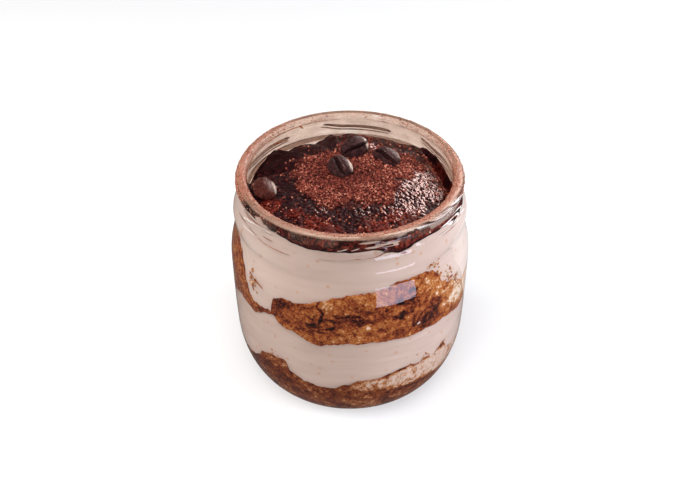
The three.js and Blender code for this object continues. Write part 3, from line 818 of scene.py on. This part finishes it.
above_edge = (chocolate_rings[:, :, 2] - upper_cream_edge) / 1.1
side_dust = along(SIDE_DUST, food_azimuth) + 0.35 * noise(chocolate_rings, 2.6, 92) \
    + 0.5 * noise(chocolate_rings, 0.6, 93)
dust_mark = np.where(on_top, dust_mark, np.clip(side_dust, 0, 1) * ease(above_edge - 0.2))
grain_mark = np.where(on_top, grain_mark, 0.3 * noise(chocolate_rings, 0.6, 94) * ease(above_edge)
                      - 0.35 * (1 - ease(above_edge)))

# The side is pressed on the glass and dull. The top is moist, and where its last number is high
# it is wet and mirrors the light.
points, faces = marked_skin(chocolate_rings, cocoa_mark, dust_mark, grain_mark, wet_mark)
dome = mesh_piece("chocolate_dome", points, faces, chocolate_finish("moist_chocolate", 0.5, 0.08),
                  ["cocoa", "dust", "grain"])
dome.data.materials.append(chocolate_finish("chocolate_on_glass", 0.75, 0.05))
dome.data.materials.append(chocolate_finish("wet_chocolate", 0.24, 0.62))
on_glass = (faces < (len(chocolate_side) - 2) * FOOD_COLUMNS).all(axis=1)
is_wet = points[faces[:, 0], -1] > 0.5
dome.data.polygons.foreach_set("material_index", np.where(on_glass, 1, 2 * is_wet).astype(np.int32))
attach(dome, "root")
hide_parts("chocolate_top")


# ---- Coffee beans ----
# Four roasted coffee beans. Three lie with the creased side up, and an oilier one lies by the glass
# with its round back up. They are sunk a little way into the chocolate.

BEAN_LENGTH = 10.4
BEAN_WIDTH = 8
BEAN_BACK = 3            # from the widest level down to the round back
BEAN_CROWN = 1.9         # from the widest level up over the creased side
CREASE_HALF_WIDTH = 0.13  # as a share of the half width
CREASE_DEPTH = 0.95      # as a share of the crown
CREASE_BEND = 0.13
LIP_HEIGHT = 0.12        # of the swell on either side of the crease, as a share of the crown
LIP_PLACE = 0.24         # how far off the crease it lies, as a share of the half width
# A painted highlight pales its skin on the side that faces the light, but not low down or at the back,
# where this edge lies.
LIT_SIDE = np.array([0.94, 0.22, 0.26])
HIGHLIGHT_EDGE = np.array([0, -0.175, 0.178])
BEAN_STATIONS = 90
# Each bean's place on the plan, its lift off the smooth dome, its three angles in degrees, and how
# much of its reach towards the lit side lies behind its painted highlight.
BEANS = {
    "coffee_bean_1": {"x": 1.6, "y": 12.9, "lift": 1.9, "heading": 34, "lean": 47, "pitch": -12,
                      "highlight_from": 0.74},
    "coffee_bean_2": {"x": -3.5, "y": 1.5, "lift": 1.1, "heading": -62, "lean": 24, "pitch": 8,
                      "highlight_from": 0.74},
    "coffee_bean_3": {"x": 12.5, "y": 9.6, "lift": 0.2, "heading": -42, "lean": 30, "pitch": 4,
                      "highlight_from": 0.88},
    "coffee_bean_4": {"x": -28.4, "y": -9.4, "lift": 1.1, "heading": 98, "lean": 190, "pitch": 0,
                      "highlight_from": 0.72},
}


def bean_rings(seed):
    """A bean along X with its creased side up. Its girth follows the sine of the way along. Over
    the top the crown is flat across, less a narrow crease that bends in an S; below it is the
    lower half of an ellipse."""
    along_bean = np.linspace(0, math.pi, BEAN_STATIONS)[:, None]
    girth = np.sin(along_bean) ** 0.75
    over = np.linspace(1, -1, 45)
    over = np.sign(over) * np.abs(over) ** 1.5
    under = np.linspace(math.pi, 2 * math.pi, 26)[1:-1]
    across = np.concatenate([over, np.cos(under)])
    crease_line = CREASE_BEND * np.sin(2 * along_bean)
    crown = (1 - np.abs(over) ** 2.6) ** 0.75
    off_crease = over / CREASE_HALF_WIDTH
    crease = CREASE_DEPTH * np.exp(-off_crease ** 2) * ease(girth / 0.5)
    lips = LIP_HEIGHT * np.exp(-(np.abs(over) - LIP_PLACE) ** 2 / 0.01)
    up = np.concatenate([
        BEAN_CROWN * (crown + lips - crease),
        np.broadcast_to(BEAN_BACK * np.sin(under), (BEAN_STATIONS, len(under))),
    ], axis=1)
    shifted = across + crease_line * (1 - np.abs(across))
    points = np.stack(np.broadcast_arrays(
        -np.cos(along_bean) * BEAN_LENGTH / 2, shifted * girth * BEAN_WIDTH / 2, up * girth,
    ), axis=-1)
    wrinkles = 0.05 * noise(points * [0.5, 1, 1], 0.9, seed) + 0.05 * noise(points, 2.5, seed + 1)
    return points * (1 + wrinkles[..., None] * 0.5)


def bean_turn(heading, lean, pitch):
    """Rotation to a heading about Z, after a pitch about Y and a lean about X."""
    (ch, sh), (cl, sl), (cp, sp) = (
        (math.cos(math.radians(angle)), math.sin(math.radians(angle)))
        for angle in (heading, lean, pitch)
    )
    about_z = np.array([[ch, -sh, 0], [sh, ch, 0], [0, 0, 1]])
    about_y = np.array([[cp, 0, sp], [0, 1, 0], [-sp, 0, cp]])
    about_x = np.array([[1, 0, 0], [0, cl, -sl], [0, sl, cl]])
    return about_z @ about_y @ about_x


def bean_finish(name, stops, roughness):
    """Roasted coffee bean, dark brown and mottled, under an oily film that shines softly. Its
    highlight attribute pales it in patches: a painted highlight on the edge that faces the light."""
    finish, tree = bare_finish(name)
    place = node(tree, "ShaderNodeTexCoord").outputs["Object"]
    mottle = node(tree, "ShaderNodeTexNoise", {
        "Vector": place, "Scale": 1 / (0.9 * MM), "Detail": 4, "Roughness": 0.7,
    }).outputs["Fac"]
    roast = node(tree, "ShaderNodeValToRGB", {"Fac": mottle}, stops).outputs["Color"]
    painted_highlight = node(tree, "ShaderNodeAttribute", attribute_name="painted_highlight").outputs["Fac"]
    patchy = node(tree, "ShaderNodeMapRange", {
        "Value": mottle, "From Min": 0.35, "From Max": 0.6, "To Min": 0.3, "To Max": 1,
    }).outputs["Result"]
    highlighted = node(tree, "ShaderNodeMath", {
        "Value": painted_highlight, "Value_001": patchy,
    }, operation="MULTIPLY").outputs[0]
    # Painted highlight: the pale colour that the highlight attribute mixes in.
    skin_and_highlight = node(tree, "ShaderNodeMix", {
        "Factor_Float": highlighted, "A_Color": roast, "B_Color": colour("#ecd0be"),
    }, data_type="RGBA").outputs[2]
    bump = node(tree, "ShaderNodeBump", {
        "Height": mottle, "Strength": 0.7, "Distance": 0.4 * MM,
    }).outputs["Normal"]
    surface = node(tree, "ShaderNodeBsdfPrincipled", {
        "Base Color": skin_and_highlight, "Roughness": roughness, "Specular IOR Level": 0.15, "Normal": bump,
    })
    node(tree, "ShaderNodeOutputMaterial", {"Surface": surface.outputs[0]})
    return finish


roasted_bean = bean_finish("roasted_coffee_bean", [
    (0.3, "#140808"), (0.48, "#2f1a1a"), (0.72, "#5e3a39"),
], 0.32)
oily_bean = bean_finish("oily_coffee_bean", [
    (0.3, "#280f0c"), (0.5, "#48201b"), (0.72, "#68362e"),
], 0.2)

for number, (name, bean) in enumerate(BEANS.items()):
    middle = np.array([bean["x"], bean["y"], dome_form(bean["x"], bean["y"]) + bean["lift"]])
    turn = bean_turn(bean["heading"], bean["lean"], bean["pitch"])
    rings = bean_rings(101 + 2 * number) @ turn.T
    # Painted highlight on the side that faces the light, kept off its low and back parts.
    sideways = rings @ LIT_SIDE
    painted_highlight = ease((sideways / sideways.max() - bean["highlight_from"]) / 0.16)
    painted_highlight *= ease((rings @ HIGHLIGHT_EDGE + 0.3) / 0.3)
    rings = np.concatenate([rings + middle, painted_highlight[..., None]], axis=-1)
    finish = oily_bean if name == "coffee_bean_4" else roasted_bean
    piece = mesh_piece(name + "_roasted", *skin(rings), finish, ["painted_highlight"])
    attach(piece, "root")
    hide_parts(name)


# ---- Cocoa powder ----
# Dry cocoa sieved over the dome. It has clumped into grains: thick in the middle, and thinning
# out to single grains on the wet chocolate.

GRAIN_DRAWS = 26000
GRAIN_RADIUS = (0.17, 0.48)
GRAIN_FIELD = 34         # radius of the circle that the draws fill
CLEAR_OF_BEAN = 4.3
FINE_MIDDLE = (-4, 1)    # round this place the grains are finer, darker and fewer
FINE_RADIUS = 13
FINE_FADE = 9

golden = (1 + math.sqrt(5)) / 2
grain_points = np.array([
    [-1, golden, 0], [1, golden, 0], [-1, -golden, 0], [1, -golden, 0],
    [0, -1, golden], [0, 1, golden], [0, -1, -golden], [0, 1, -golden],
    [golden, 0, -1], [golden, 0, 1], [-golden, 0, -1], [-golden, 0, 1],
]) / math.hypot(1, golden)
grain_faces = np.array([
    [0, 11, 5], [0, 5, 1], [0, 1, 7], [0, 7, 10], [0, 10, 11], [1, 5, 9], [5, 11, 4],
    [11, 10, 2], [10, 7, 6], [7, 1, 8], [3, 9, 4], [3, 4, 2], [3, 2, 6], [3, 6, 8],
    [3, 8, 9], [4, 9, 5], [2, 4, 11], [6, 2, 10], [8, 6, 7], [9, 8, 1],
])


def scattered(places, radii, tones, random):
    """Points and triangles of many grains: an icosahedron for each place, stretched unevenly,
    turned at random and scaled to its radius, with its tone behind each point."""
    count = len(places)
    stretch = random.uniform(0.7, 1.15, (count, 1, 3))
    turn, _ = np.linalg.qr(random.normal(size=(count, 3, 3)))
    turn *= np.sign(np.linalg.det(turn))[:, None, None]
    grains = (grain_points * stretch) @ turn * np.reshape(radii, (count, 1, 1))
    points = grains + places[:, None, :]
    tones = np.broadcast_to(np.reshape(tones, (count, 1, 1)), (count, len(grain_points), 1))
    points = np.concatenate([points, tones], axis=-1).reshape(-1, 4)
    faces = grain_faces + len(grain_points) * np.arange(count)[:, None, None]
    return points, faces.reshape(-1, 3)


random = np.random.default_rng(7)
draw_radius = GRAIN_FIELD * np.sqrt(random.uniform(size=GRAIN_DRAWS))
draw_azimuth = random.uniform(0, 360, GRAIN_DRAWS)
draws = turned(draw_azimuth, draw_radius, 0)
cover = cocoa_cover(draws[:, 0], draws[:, 1])
sparse = 0.08 + 0.14 * flat_spots(draws[:, 0], draws[:, 1], THIN_DUST, 91)
sparse *= 1 - flat_spots(draws[:, 0], draws[:, 1], SMOOTH_SPOTS, 83)
off_fine = np.hypot(draws[:, 0] - FINE_MIDDLE[0], draws[:, 1] - FINE_MIDDLE[1])
inmost = cover * ease((FINE_RADIUS - off_fine) / FINE_FADE)
kept = random.uniform(size=GRAIN_DRAWS) < np.maximum(cover * (0.8 - 0.5 * inmost), sparse * 0.5)
for bean in BEANS.values():
    kept &= np.hypot(draws[:, 0] - bean["x"], draws[:, 1] - bean["y"]) > CLEAR_OF_BEAN
draws = draws[kept]
grain_radius = random.uniform(*GRAIN_RADIUS, len(draws)) * (1 - 0.3 * inmost[kept])
draws[:, 2] = dome_form(draws[:, 0], draws[:, 1]) + dome_relief(draws[:, 0], draws[:, 1])
draws[:, 2] += grain_radius * random.uniform(-0.1, 0.5, len(draws))

# Dry cocoa powder: very dull, red-brown, each clump of its own tone.
cocoa_powder, tree = bare_finish("dry_cocoa_powder")
tone = node(tree, "ShaderNodeAttribute", attribute_name="tone").outputs["Fac"]
shade = node(tree, "ShaderNodeValToRGB", {"Fac": tone}, [
    (0, "#2a0c0a"), (0.4, "#652a23"), (0.8, "#a05040"), (1, "#da9076"),
]).outputs["Color"]
surface = node(tree, "ShaderNodeBsdfPrincipled", {
    "Base Color": shade, "Roughness": 0.9, "Specular IOR Level": 0.15,
})
node(tree, "ShaderNodeOutputMaterial", {"Surface": surface.outputs[0]})

grains = mesh_piece("cocoa_grains", *scattered(
    draws, grain_radius, random.uniform(0, 1, len(draws)) * (1 - 0.35 * inmost[kept]), random,
), cocoa_powder, ["tone"])
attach(grains, "root")


# ---- Cocoa dust on the rim ----
# The sieve also dusted the jar's rim: thick on the left, a line along the inner edge in front,
# and a fair coat on the right.

RIM_DRAWS = 19000
RIM_GRAIN_RADIUS = (0.1, 0.24)
RIM_RADIUS = 37          # half way over the rim
RIM_START = 14           # which point from the shoulder to the mouth the rim begins at
# The crest as a share of the way over the rim from outside.
CREST_FROM = 0.54
CREST_TO = 0.76
RIM_DUST_TO = 0.93       # and the share where the dust ends
# Share of the rim's width that dust covers at each azimuth, outside, on the crest and inside.
DUST_OUTSIDE = [[-150, 0.05], [-115, 0.5], [-75, 0.7], [-55, 0.08], [-20, 0], [50, 0],
                [80, 0.2], [120, 0.1], [180, 0.02]]
DUST_CREST = [[-150, 0.16], [-110, 0.7], [-75, 0.85], [-55, 0.4], [-25, 0.35], [0, 0.6], [40, 0.85],
              [75, 0.8], [115, 0.3], [150, 0.12], [180, 0.1]]
DUST_INSIDE = [[-150, 0.25], [-100, 0.4], [-60, 0.8], [0, 1], [60, 1], [100, 0.6], [140, 0.25],
               [180, 0.12]]

rim = cut_corners(shoulder_to_mouth[RIM_START:], 3)
rim_reach = np.concatenate([[0], np.cumsum(np.hypot(*np.diff(rim, axis=0).T))])
rim_slope = np.gradient(rim, rim_reach, axis=0)
rim_slope /= np.linalg.norm(rim_slope, axis=1, keepdims=True)
random = np.random.default_rng(11)
rim_azimuth = random.uniform(-180, 180, RIM_DRAWS)
rim_share = random.uniform(size=RIM_DRAWS)
rim_cover = np.where(
    rim_share < CREST_FROM, along(DUST_OUTSIDE, rim_azimuth) * ease(rim_share / 0.3),
    np.where(rim_share < CREST_TO, along(DUST_CREST, rim_azimuth), along(DUST_INSIDE, rim_azimuth)),
)
rim_place = turned(rim_azimuth, RIM_RADIUS, 0)
rim_cover = rim_cover * (0.75 + 0.5 * noise(rim_place, 2.5, 111) + 0.3 * noise(rim_place, 0.9, 112))
kept = (random.uniform(size=RIM_DRAWS) < rim_cover) & (rim_share < RIM_DUST_TO)
rim_azimuth, rim_share = rim_azimuth[kept], rim_share[kept]
rim_radius, rim_height, rim_out, rim_up = (
    np.interp(rim_share * rim_reach[-1], rim_reach, column)
    for column in (*rim.T, rim_slope[:, 1], -rim_slope[:, 0])
)
rim_grain = random.uniform(*RIM_GRAIN_RADIUS, len(rim_azimuth))
rim_places = turned(rim_azimuth, rim_radius + 0.4 * rim_grain * rim_out,
                    rim_height + 0.4 * rim_grain * rim_up)
rim_places[:, 2] = np.minimum(rim_places[:, 2], JAR_HEIGHT + 0.2)

# A thin veil of cocoa on glass: dull, and paler than the heaped powder as light comes through.
cocoa_dust, tree = bare_finish("fine_cocoa_dust")
tone = node(tree, "ShaderNodeAttribute", attribute_name="tone").outputs["Fac"]
shade = node(tree, "ShaderNodeValToRGB", {"Fac": tone}, [
    (0, "#6a2e22"), (0.4, "#a65c47"), (1, "#d9a189"),
]).outputs["Color"]
surface = node(tree, "ShaderNodeBsdfPrincipled", {
    "Base Color": shade, "Roughness": 0.9, "Specular IOR Level": 0.15,
})
node(tree, "ShaderNodeOutputMaterial", {"Surface": surface.outputs[0]})

rim_dust = mesh_piece("rim_dust", *scattered(
    rim_places, rim_grain, random.uniform(0, 1, len(rim_places)), random,
), cocoa_dust, ["tone"])
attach(rim_dust, "root")


# ---- Film of cream and cocoa round the mouth ----
# Cream and cocoa wiped the inside of the neck and the rim as the jar was filled. They have dried
# to a thin, cloudy film, reddest where cocoa lies on it.

FILM_BASE = 0.03         # the film's back stands this far off the glass
FILM_FACE = 0.1          # and its face this far
FILM_RIM_STEP = 0.3
FILM_WALL_ROWS = 26
FILM_RIM_FROM = 0.38     # share of the way over the rim from outside where it begins
FILM_OVERLAP = 0.15      # how far it runs down over the chocolate's edge
# Share of the light that the film on the inside of the neck holds back at each azimuth.
WIPED_COVER = [[-150, 0.15], [-110, 0.2], [-60, 0.36], [60, 0.36], [110, 0.2], [150, 0.15]]
# The same for the film over the rim.
RIM_COVER = [[-150, 0.18], [-60, 0.38], [60, 0.26], [150, 0.18]]

# Dried cream with cocoa: a cloudy film that lets part of the light through and tints it.
mouth_film, tree = bare_finish("dried_cream_and_cocoa_film")
place = node(tree, "ShaderNodeTexCoord").outputs["Object"]
cover = node(tree, "ShaderNodeAttribute", attribute_name="cover").outputs["Fac"]
cocoa = node(tree, "ShaderNodeAttribute", attribute_name="cocoa").outputs["Fac"]
clouds = node(tree, "ShaderNodeTexNoise", {
    "Vector": place, "Scale": 1 / (6 * MM), "Detail": 3, "Roughness": 0.5,
}).outputs["Fac"]
specks = node(tree, "ShaderNodeTexNoise", {
    "Vector": place, "Scale": 1 / (0.7 * MM), "Detail": 2, "Roughness": 0.6,
}).outputs["Fac"]
cloudy = node(tree, "ShaderNodeMath", {
    "Value": clouds, "Value_001": 0.3, "Value_002": -0.15,
}, operation="MULTIPLY_ADD").outputs[0]
thickness = node(tree, "ShaderNodeMath", {
    "Value": cover, "Value_001": cloudy,
}, operation="ADD", use_clamp=True).outputs[0]
speckled = node(tree, "ShaderNodeMapRange", {
    "Value": specks, "From Min": 0.35, "From Max": 0.65, "To Min": 0.3, "To Max": 1.5,
}).outputs["Result"]
reddened = node(tree, "ShaderNodeMath", {
    "Value": cocoa, "Value_001": speckled,
}, operation="MULTIPLY", use_clamp=True).outputs[0]
tinted = node(tree, "ShaderNodeMix", {
    "Factor_Float": reddened, "A_Color": colour("#cfac98"), "B_Color": colour("#b05a39"),
}, data_type="RGBA").outputs[2]
milk = node(tree, "ShaderNodeBsdfPrincipled", {
    "Base Color": tinted, "Roughness": 0.45, "Specular IOR Level": 0.4,
})
tint = node(tree, "ShaderNodeMapRange", {
    "Value": cover, "From Min": 0.02, "From Max": 0.12,
}).outputs["Result"]
through = node(tree, "ShaderNodeBsdfTransparent", {
    "Color": node(tree, "ShaderNodeMix", {
        "Factor_Float": tint, "A_Color": colour("#ffffff"), "B_Color": colour("#f5e7dd"),
    }, data_type="RGBA").outputs[2],
})
film_mix = node(tree, "ShaderNodeMixShader", {
    "Fac": thickness, "Shader": through.outputs[0], "Shader_001": milk.outputs[0],
})
node(tree, "ShaderNodeOutputMaterial", {"Surface": film_mix.outputs[0]})

film_rim = evenly(rim, FILM_RIM_STEP)
film_slope = np.gradient(film_rim, axis=0)
film_slope /= np.linalg.norm(film_slope, axis=1, keepdims=True)
film_low = reach_at(along(CHOCOLATE_EDGE, glass_azimuth) - FILM_OVERLAP)
film_way = np.linspace(0, 1, FILM_WALL_ROWS)[1:, None]
film_reach = wall_reach[-1] + (film_low - wall_reach[-1]) * film_way


def film_face(off):
    """Radius and height of the film's points a distance off the glass: up the outside of the
    rim, over it and down the inside of the neck."""
    over = film_rim + off * film_slope[:, ::-1] * [1, -1]
    down = np.stack(on_wall(film_reach, -off), axis=-1)
    over = np.broadcast_to(over[:, None], (len(over), len(glass_azimuth), 2))
    return np.concatenate([over, down])


way_over = np.linspace(0, 1, len(film_rim))[:, None]
outside = along(DUST_OUTSIDE, glass_azimuth) * ease(way_over / 0.3)
on_crest = along(DUST_CREST, glass_azimuth)
inside = along(DUST_INSIDE, glass_azimuth)
over_cocoa = np.where(way_over < CREST_FROM, outside, np.where(way_over < CREST_TO, on_crest, inside))
drawn = spread_marks(turned(glass_azimuth, RIM_RADIUS, 8 * way_over), 114)
over_cover = along(RIM_COVER, glass_azimuth) * (1 + 1.2 * drawn) * ease((way_over - FILM_RIM_FROM) / 0.08)
over_cover += 0.36 * over_cocoa
down_cocoa = inside * (0.65 - 0.6 * ease((wall_reach[-1] - film_reach) / 3))
wiped = spread_marks(turned(glass_azimuth, *on_wall(film_reach, 0)), 113)
down_cover = along(WIPED_COVER, glass_azimuth) + 0.3 * down_cocoa + 0.09 * wiped
film_marks = np.stack([
    np.concatenate([over_cover, down_cover]),
    np.concatenate([0.8 * over_cocoa, down_cocoa]),
], axis=-1)
film_faces = [
    np.concatenate([turned(glass_azimuth, face[..., 0], face[..., 1]), film_marks], axis=-1)
    for face in (film_face(FILM_FACE), film_face(FILM_BASE))
]
film = mesh_piece("mouth_film", *skin(
    np.concatenate([film_faces[0], film_faces[1][::-1]]), hoop=True,
), mouth_film, ["cover", "cocoa"])
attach(film, "root")


# ---- Smears and crumbs on the glass ----
# Where the spoon touched the glass, cream smeared over the chocolate, coffee ran in streaks and
# crumbs stuck. Whiter streaks of cream on the neck are painted highlights, and thin dark lines there are
# painted shade along the lugs.

# How far smears and loose crumbs reach into the glass. The drips hang on its inner face.
SMEAR_GRIP = 0.75
LOOSE_CRUMB_GRIP = 0.3
DRIP_GRIP = -0.1
SMEAR_BULGE = 0.18       # half the thickness of a smear
# Each smear: azimuth and height at either end, and half its width in the middle.
CREAM_SMEARS = [
    [-6.4, 79.0, -1.2, 80.6, 0.4], [0.5, 79.6, 4.6, 80.9, 0.45], [21.4, 81.3, 24.2, 79.6, 0.8],
    [42.6, 79.9, 43.6, 78.8, 0.4], [-54, 81.4, -43.5, 80.7, 0.75], [33, 45.6, 35, 46.2, 0.5],
    [7, 80.6, 17, 80.8, 0.45], [-50, 79.9, -44, 79.4, 0.4], [4, 81.9, 15, 82, 0.22],
    [12, 81.3, 25, 81.2, 0.25], [17, 80.1, 25, 79.9, 0.2],
]
# Streaks of cream painted whiter than the rest: painted highlights for the window's reflections on the
# neck.
HIGHLIGHT_TONE = 1.8
HIGHLIGHT_STREAKS = [
    [83, 70.4, 73, 73.7, 0.4], [74, 73.6, 57, 76.3, 0.45], [80, 73.4, 64, 76.6, 0.3],
    [66, 76.3, 51, 77.4, 0.3], [74.2, 72, 61, 74, 0.25], [62, 73.9, 49, 74.9, 0.2],
    [78.4, 75.4, 62, 78.2, 0.3], [-61.5, 81.2, -45.5, 80, 0.3], [-67, 75.3, -52, 77.7, 0.3],
    [-54, 77.5, -42, 79.2, 0.2], [-69, 71.4, -50, 73.7, 0.25], [-75, 76.8, -62, 79.4, 0.3],
]
# The three low ones are thin coffee that ran between the sponge and the glass; the thin lines high on the
# neck are painted shade along the edges of the lugs.
STREAKS_AND_LUG_SHADE = [
    [-57, 58.5, -44.6, 55.8, 0.28], [-59.5, 51.5, -48.2, 44.4, 0.4], [72, 47, 79, 42, 0.7],
    [25.5, 75.8, 29, 75.2, 0.4], [-17, 75.6, 0.2, 75.9, 0.13], [-3, 75.9, 13, 76.2, 0.15],
    [11, 76.1, 19.8, 77.9, 0.16], [-49, 72.8, -30, 73.5, 0.1], [-64, 74.4, -46, 72.6, 0.12],
    [-74, 78.6, -58, 76.8, 0.16], [-70, 79.2, -52, 78.7, 0.18], [-60, 78.9, -47, 79, 0.12],
    [72, 75, 55, 77.4, 0.14], [79, 72, 66, 75, 0.16], [68, 72.4, 52, 74.2, 0.1],
    [-60, 81.6, -45.5, 79.9, 0.17], [-69, 79.9, -52.5, 78, 0.3], [-76, 73, -63.5, 74.2, 0.2],
    [-49.5, 75.4, -41, 76, 0.13],
]
# Cocoa that ran down from the rim inside the neck.
DRIPS = [
    [-148, 83.6, -151, 81.4, 0.32], [179, 84.1, -178.5, 83, 0.3], [163, 84.6, 157, 84.7, 0.2],
    [150, 84.6, 136, 84.3, 0.2], [-126, 80.6, -141, 78.6, 0.2],
]
# Azimuth, height, spread in millimetres, number and size of the crumbs in each cluster.
CRUMB_CLUSTERS = [
    [45, 65, 2.6, 16, 0.5], [43, 66.3, 0.9, 8, 0.55], [52, 57, 3.4, 40, 0.5],
    [47, 60.5, 2.4, 22, 0.5], [59, 54, 3, 24, 0.5],
    [-53, 55, 2.6, 20, 0.7], [-41, 27.2, 3, 18, 0.5], [60, 53, 3, 12, 0.4],
    [36, 26.4, 5, 18, 0.4], [52, 27, 2.4, 12, 0.4],
]


def smear_rings(smear, grip=SMEAR_GRIP, tone=0):
    """A flat lens drawn along the glass from one end to the other, its width and thickness the
    sine of the way along, with its tone behind each point."""
    from_azimuth, from_height, to_azimuth, to_height, half_width = smear
    way = np.linspace(0, 1, 40)[:, None]
    around = np.linspace(0, 2 * math.pi, 16, endpoint=False)
    swell = np.sin(math.pi * way) ** 0.6
    azimuth = from_azimuth + (to_azimuth - from_azimuth) * way
    height = from_height + (to_height - from_height) * way
    middle = turned(azimuth, WALL_RADIUS, height)
    width = half_width * swell * (1 + 0.45 * noise(middle, 1.4, 121))
    height = height + 0.4 * half_width * noise(middle, 2.2, 122)
    into = grip + SMEAR_BULGE * np.sin(around) * swell
    round_glass = math.radians(to_azimuth - from_azimuth) * WALL_RADIUS
    along_glass = math.hypot(to_height - from_height, round_glass)
    slant = (to_height - from_height) / along_glass
    level = round_glass / along_glass
    azimuth = azimuth - np.degrees(np.cos(around) * width * slant / WALL_RADIUS)
    reach = reach_at(height + np.cos(around) * width * level)
    return turned(azimuth, *on_wall(reach, into), tone)


def joined(parts):
    """Several sets of points and triangles as one."""
    starts = np.cumsum([0] + [len(points) for points, _ in parts[:-1]])
    return (np.concatenate([points for points, _ in parts]),
            np.concatenate([faces + start for start, (_, faces) in zip(starts, parts)]))


# Cream smears, and the whiter streaks that are painted highlights.
cream_smears_and_highlights = mesh_piece("cream_smears_and_highlights", *joined([
    *(skin(smear_rings(smear)) for smear in CREAM_SMEARS),
    *(skin(smear_rings(streak, tone=HIGHLIGHT_TONE)) for streak in HIGHLIGHT_STREAKS),
]), cream, ["tone"])
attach(cream_smears_and_highlights, "root")

# Coffee streaks, and thin dark lines that are painted shade along the lugs.
streaks_and_lug_shade = mesh_piece("coffee_streaks_and_lug_shade", *joined([
    *(skin(smear_rings(streak)) for streak in STREAKS_AND_LUG_SHADE),
    *(skin(smear_rings(drip, DRIP_GRIP)) for drip in DRIPS),
]), coffee_sponge, ["tone"])
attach(streaks_and_lug_shade, "root")

random = np.random.default_rng(13)
crumb_parts = []
for azimuth, height, spread, count, size in CRUMB_CLUSTERS:
    off = random.normal(size=(count, 2)) * spread / 2
    crumb_azimuth = azimuth + np.degrees(off[:, 0] / WALL_RADIUS)
    crumb_reach = reach_at(height + off[:, 1])
    places = turned(crumb_azimuth, *on_wall(crumb_reach, LOOSE_CRUMB_GRIP))
    sizes = size * random.uniform(0.5, 1.3, count)
    crumb_parts.append(scattered(places, sizes, random.uniform(1.4, 3.4, count), random))
loose_crumbs = mesh_piece("loose_crumbs", *joined(crumb_parts), coffee_sponge, ["tone"])
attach(loose_crumbs, "root")


# ---- Floor, light and camera ----
# A pale studio floor. Daylight comes from a large window behind on the right, and soft light
# from above and the left fills the shade.

FLOOR_HALF = 3.0
CAMERA_PLACE = (0, -0.26686, 0.26912)
CAMERA_TILT = math.radians(50.524)
CAMERA_LENS = 49.0
# Each lamp: where it stands and what it faces in metres, its width and height, its power and
# whether it lights or is only mirrored.
LAMPS = {
    "daylight": [(0.36, 0.58, 0.4), (0, 0, 0.07), 0.42, 0.3, 0.7, "lights"],
    "window": [(0.36, 0.58, 0.4), (0, 0, 0.08), 0.42, 0.3, 9, "mirrored"],
    "window_panes": [(0.089, -0.124, 0.0317), (0.015, -0.038, 0.06), 0.088, 0.03, 0.048, "mirrored"],
    "right_fill": [(0.66, -0.08, 0.2), (0, 0, 0.05), 0.4, 0.4, 5.5, "lights"],
    "overhead": [(-0.05, -0.3, 0.8), (0, 0, 0), 0.6, 0.6, 5.4, "lights"],
    "left_fill": [(-0.55, 0, 0.4), (0, 0, 0.06), 0.4, 0.4, 2.4, "lights"],
    "light_strip": [(0.05, -0.55, 0.6), (0, 0, 0.08), 0.8, 0.05, 0.6, "mirrored"],
    "white_card": [(0.1, 0.09, -0.001), (0.1, 0.09, 1), 0.12, 0.16, 0.03, "mirrored"],
}
LAMP_TINTS = {"window_panes": "#d6defb", "window": "#ffe9e2", "right_fill": "#e6f0ff"}

floor_mesh = bpy.data.meshes.new("studio_floor")
floor_mesh.from_pydata([
    (-FLOOR_HALF, -FLOOR_HALF, 0), (FLOOR_HALF, -FLOOR_HALF, 0), (FLOOR_HALF, FLOOR_HALF, 0),
    (-FLOOR_HALF, FLOOR_HALF, 0),
], [], [(0, 1, 2, 3)])
floor = bpy.data.objects.new("studio_floor", floor_mesh)
bpy.context.scene.collection.objects.link(floor)

# Matt white paper. Its glow stands in for light from the white walls round it.
paper, tree = bare_finish("white_studio_paper")
surface = node(tree, "ShaderNodeBsdfPrincipled", {
    "Base Color": colour("#e0e0e0"), "Roughness": 0.9, "Specular IOR Level": 0.1,
    "Emission Color": colour("#ffffff"), "Emission Strength": 0.24,
})
node(tree, "ShaderNodeOutputMaterial", {"Surface": surface.outputs[0]})
floor_mesh.materials.append(paper)
floor.visible_glossy = False

world = bpy.data.worlds.new("studio")
world.use_nodes = True
world.node_tree.nodes.clear()
sky = node(world.node_tree, "ShaderNodeBackground", {"Color": colour("#fff4f0"), "Strength": 0.14})
node(world.node_tree, "ShaderNodeOutputWorld", {"Surface": sky.outputs[0]})
bpy.context.scene.world = world

for name, (place, target, width, height, power, use) in LAMPS.items():
    lamp = bpy.data.lights.new(name, "AREA")
    lamp.shape = "RECTANGLE"
    lamp.size, lamp.size_y, lamp.energy = width, height, power
    lamp.color = colour(LAMP_TINTS.get(name, "#ffffff"))[:3]
    holder = bpy.data.objects.new(name, lamp)
    holder.location = place
    towards = np.array(target) - np.array(place)
    holder.rotation_euler = (
        math.atan2(math.hypot(towards[0], towards[1]), -towards[2]), 0,
        math.atan2(towards[1], towards[0]) - math.pi / 2,
    )
    holder.visible_camera = holder.visible_transmission = False
    holder.visible_glossy = use == "mirrored"
    holder.visible_diffuse = use == "lights"
    bpy.context.scene.collection.objects.link(holder)

camera_data = bpy.data.cameras.new("camera")
camera_data.lens = CAMERA_LENS
camera_data.sensor_width = 36
camera = bpy.data.objects.new("camera", camera_data)
camera.location = CAMERA_PLACE
camera.rotation_euler = (CAMERA_TILT, 0, 0)
bpy.context.scene.collection.objects.link(camera)
bpy.context.scene.camera = camera
bpy.context.scene.view_settings.view_transform = "Standard"
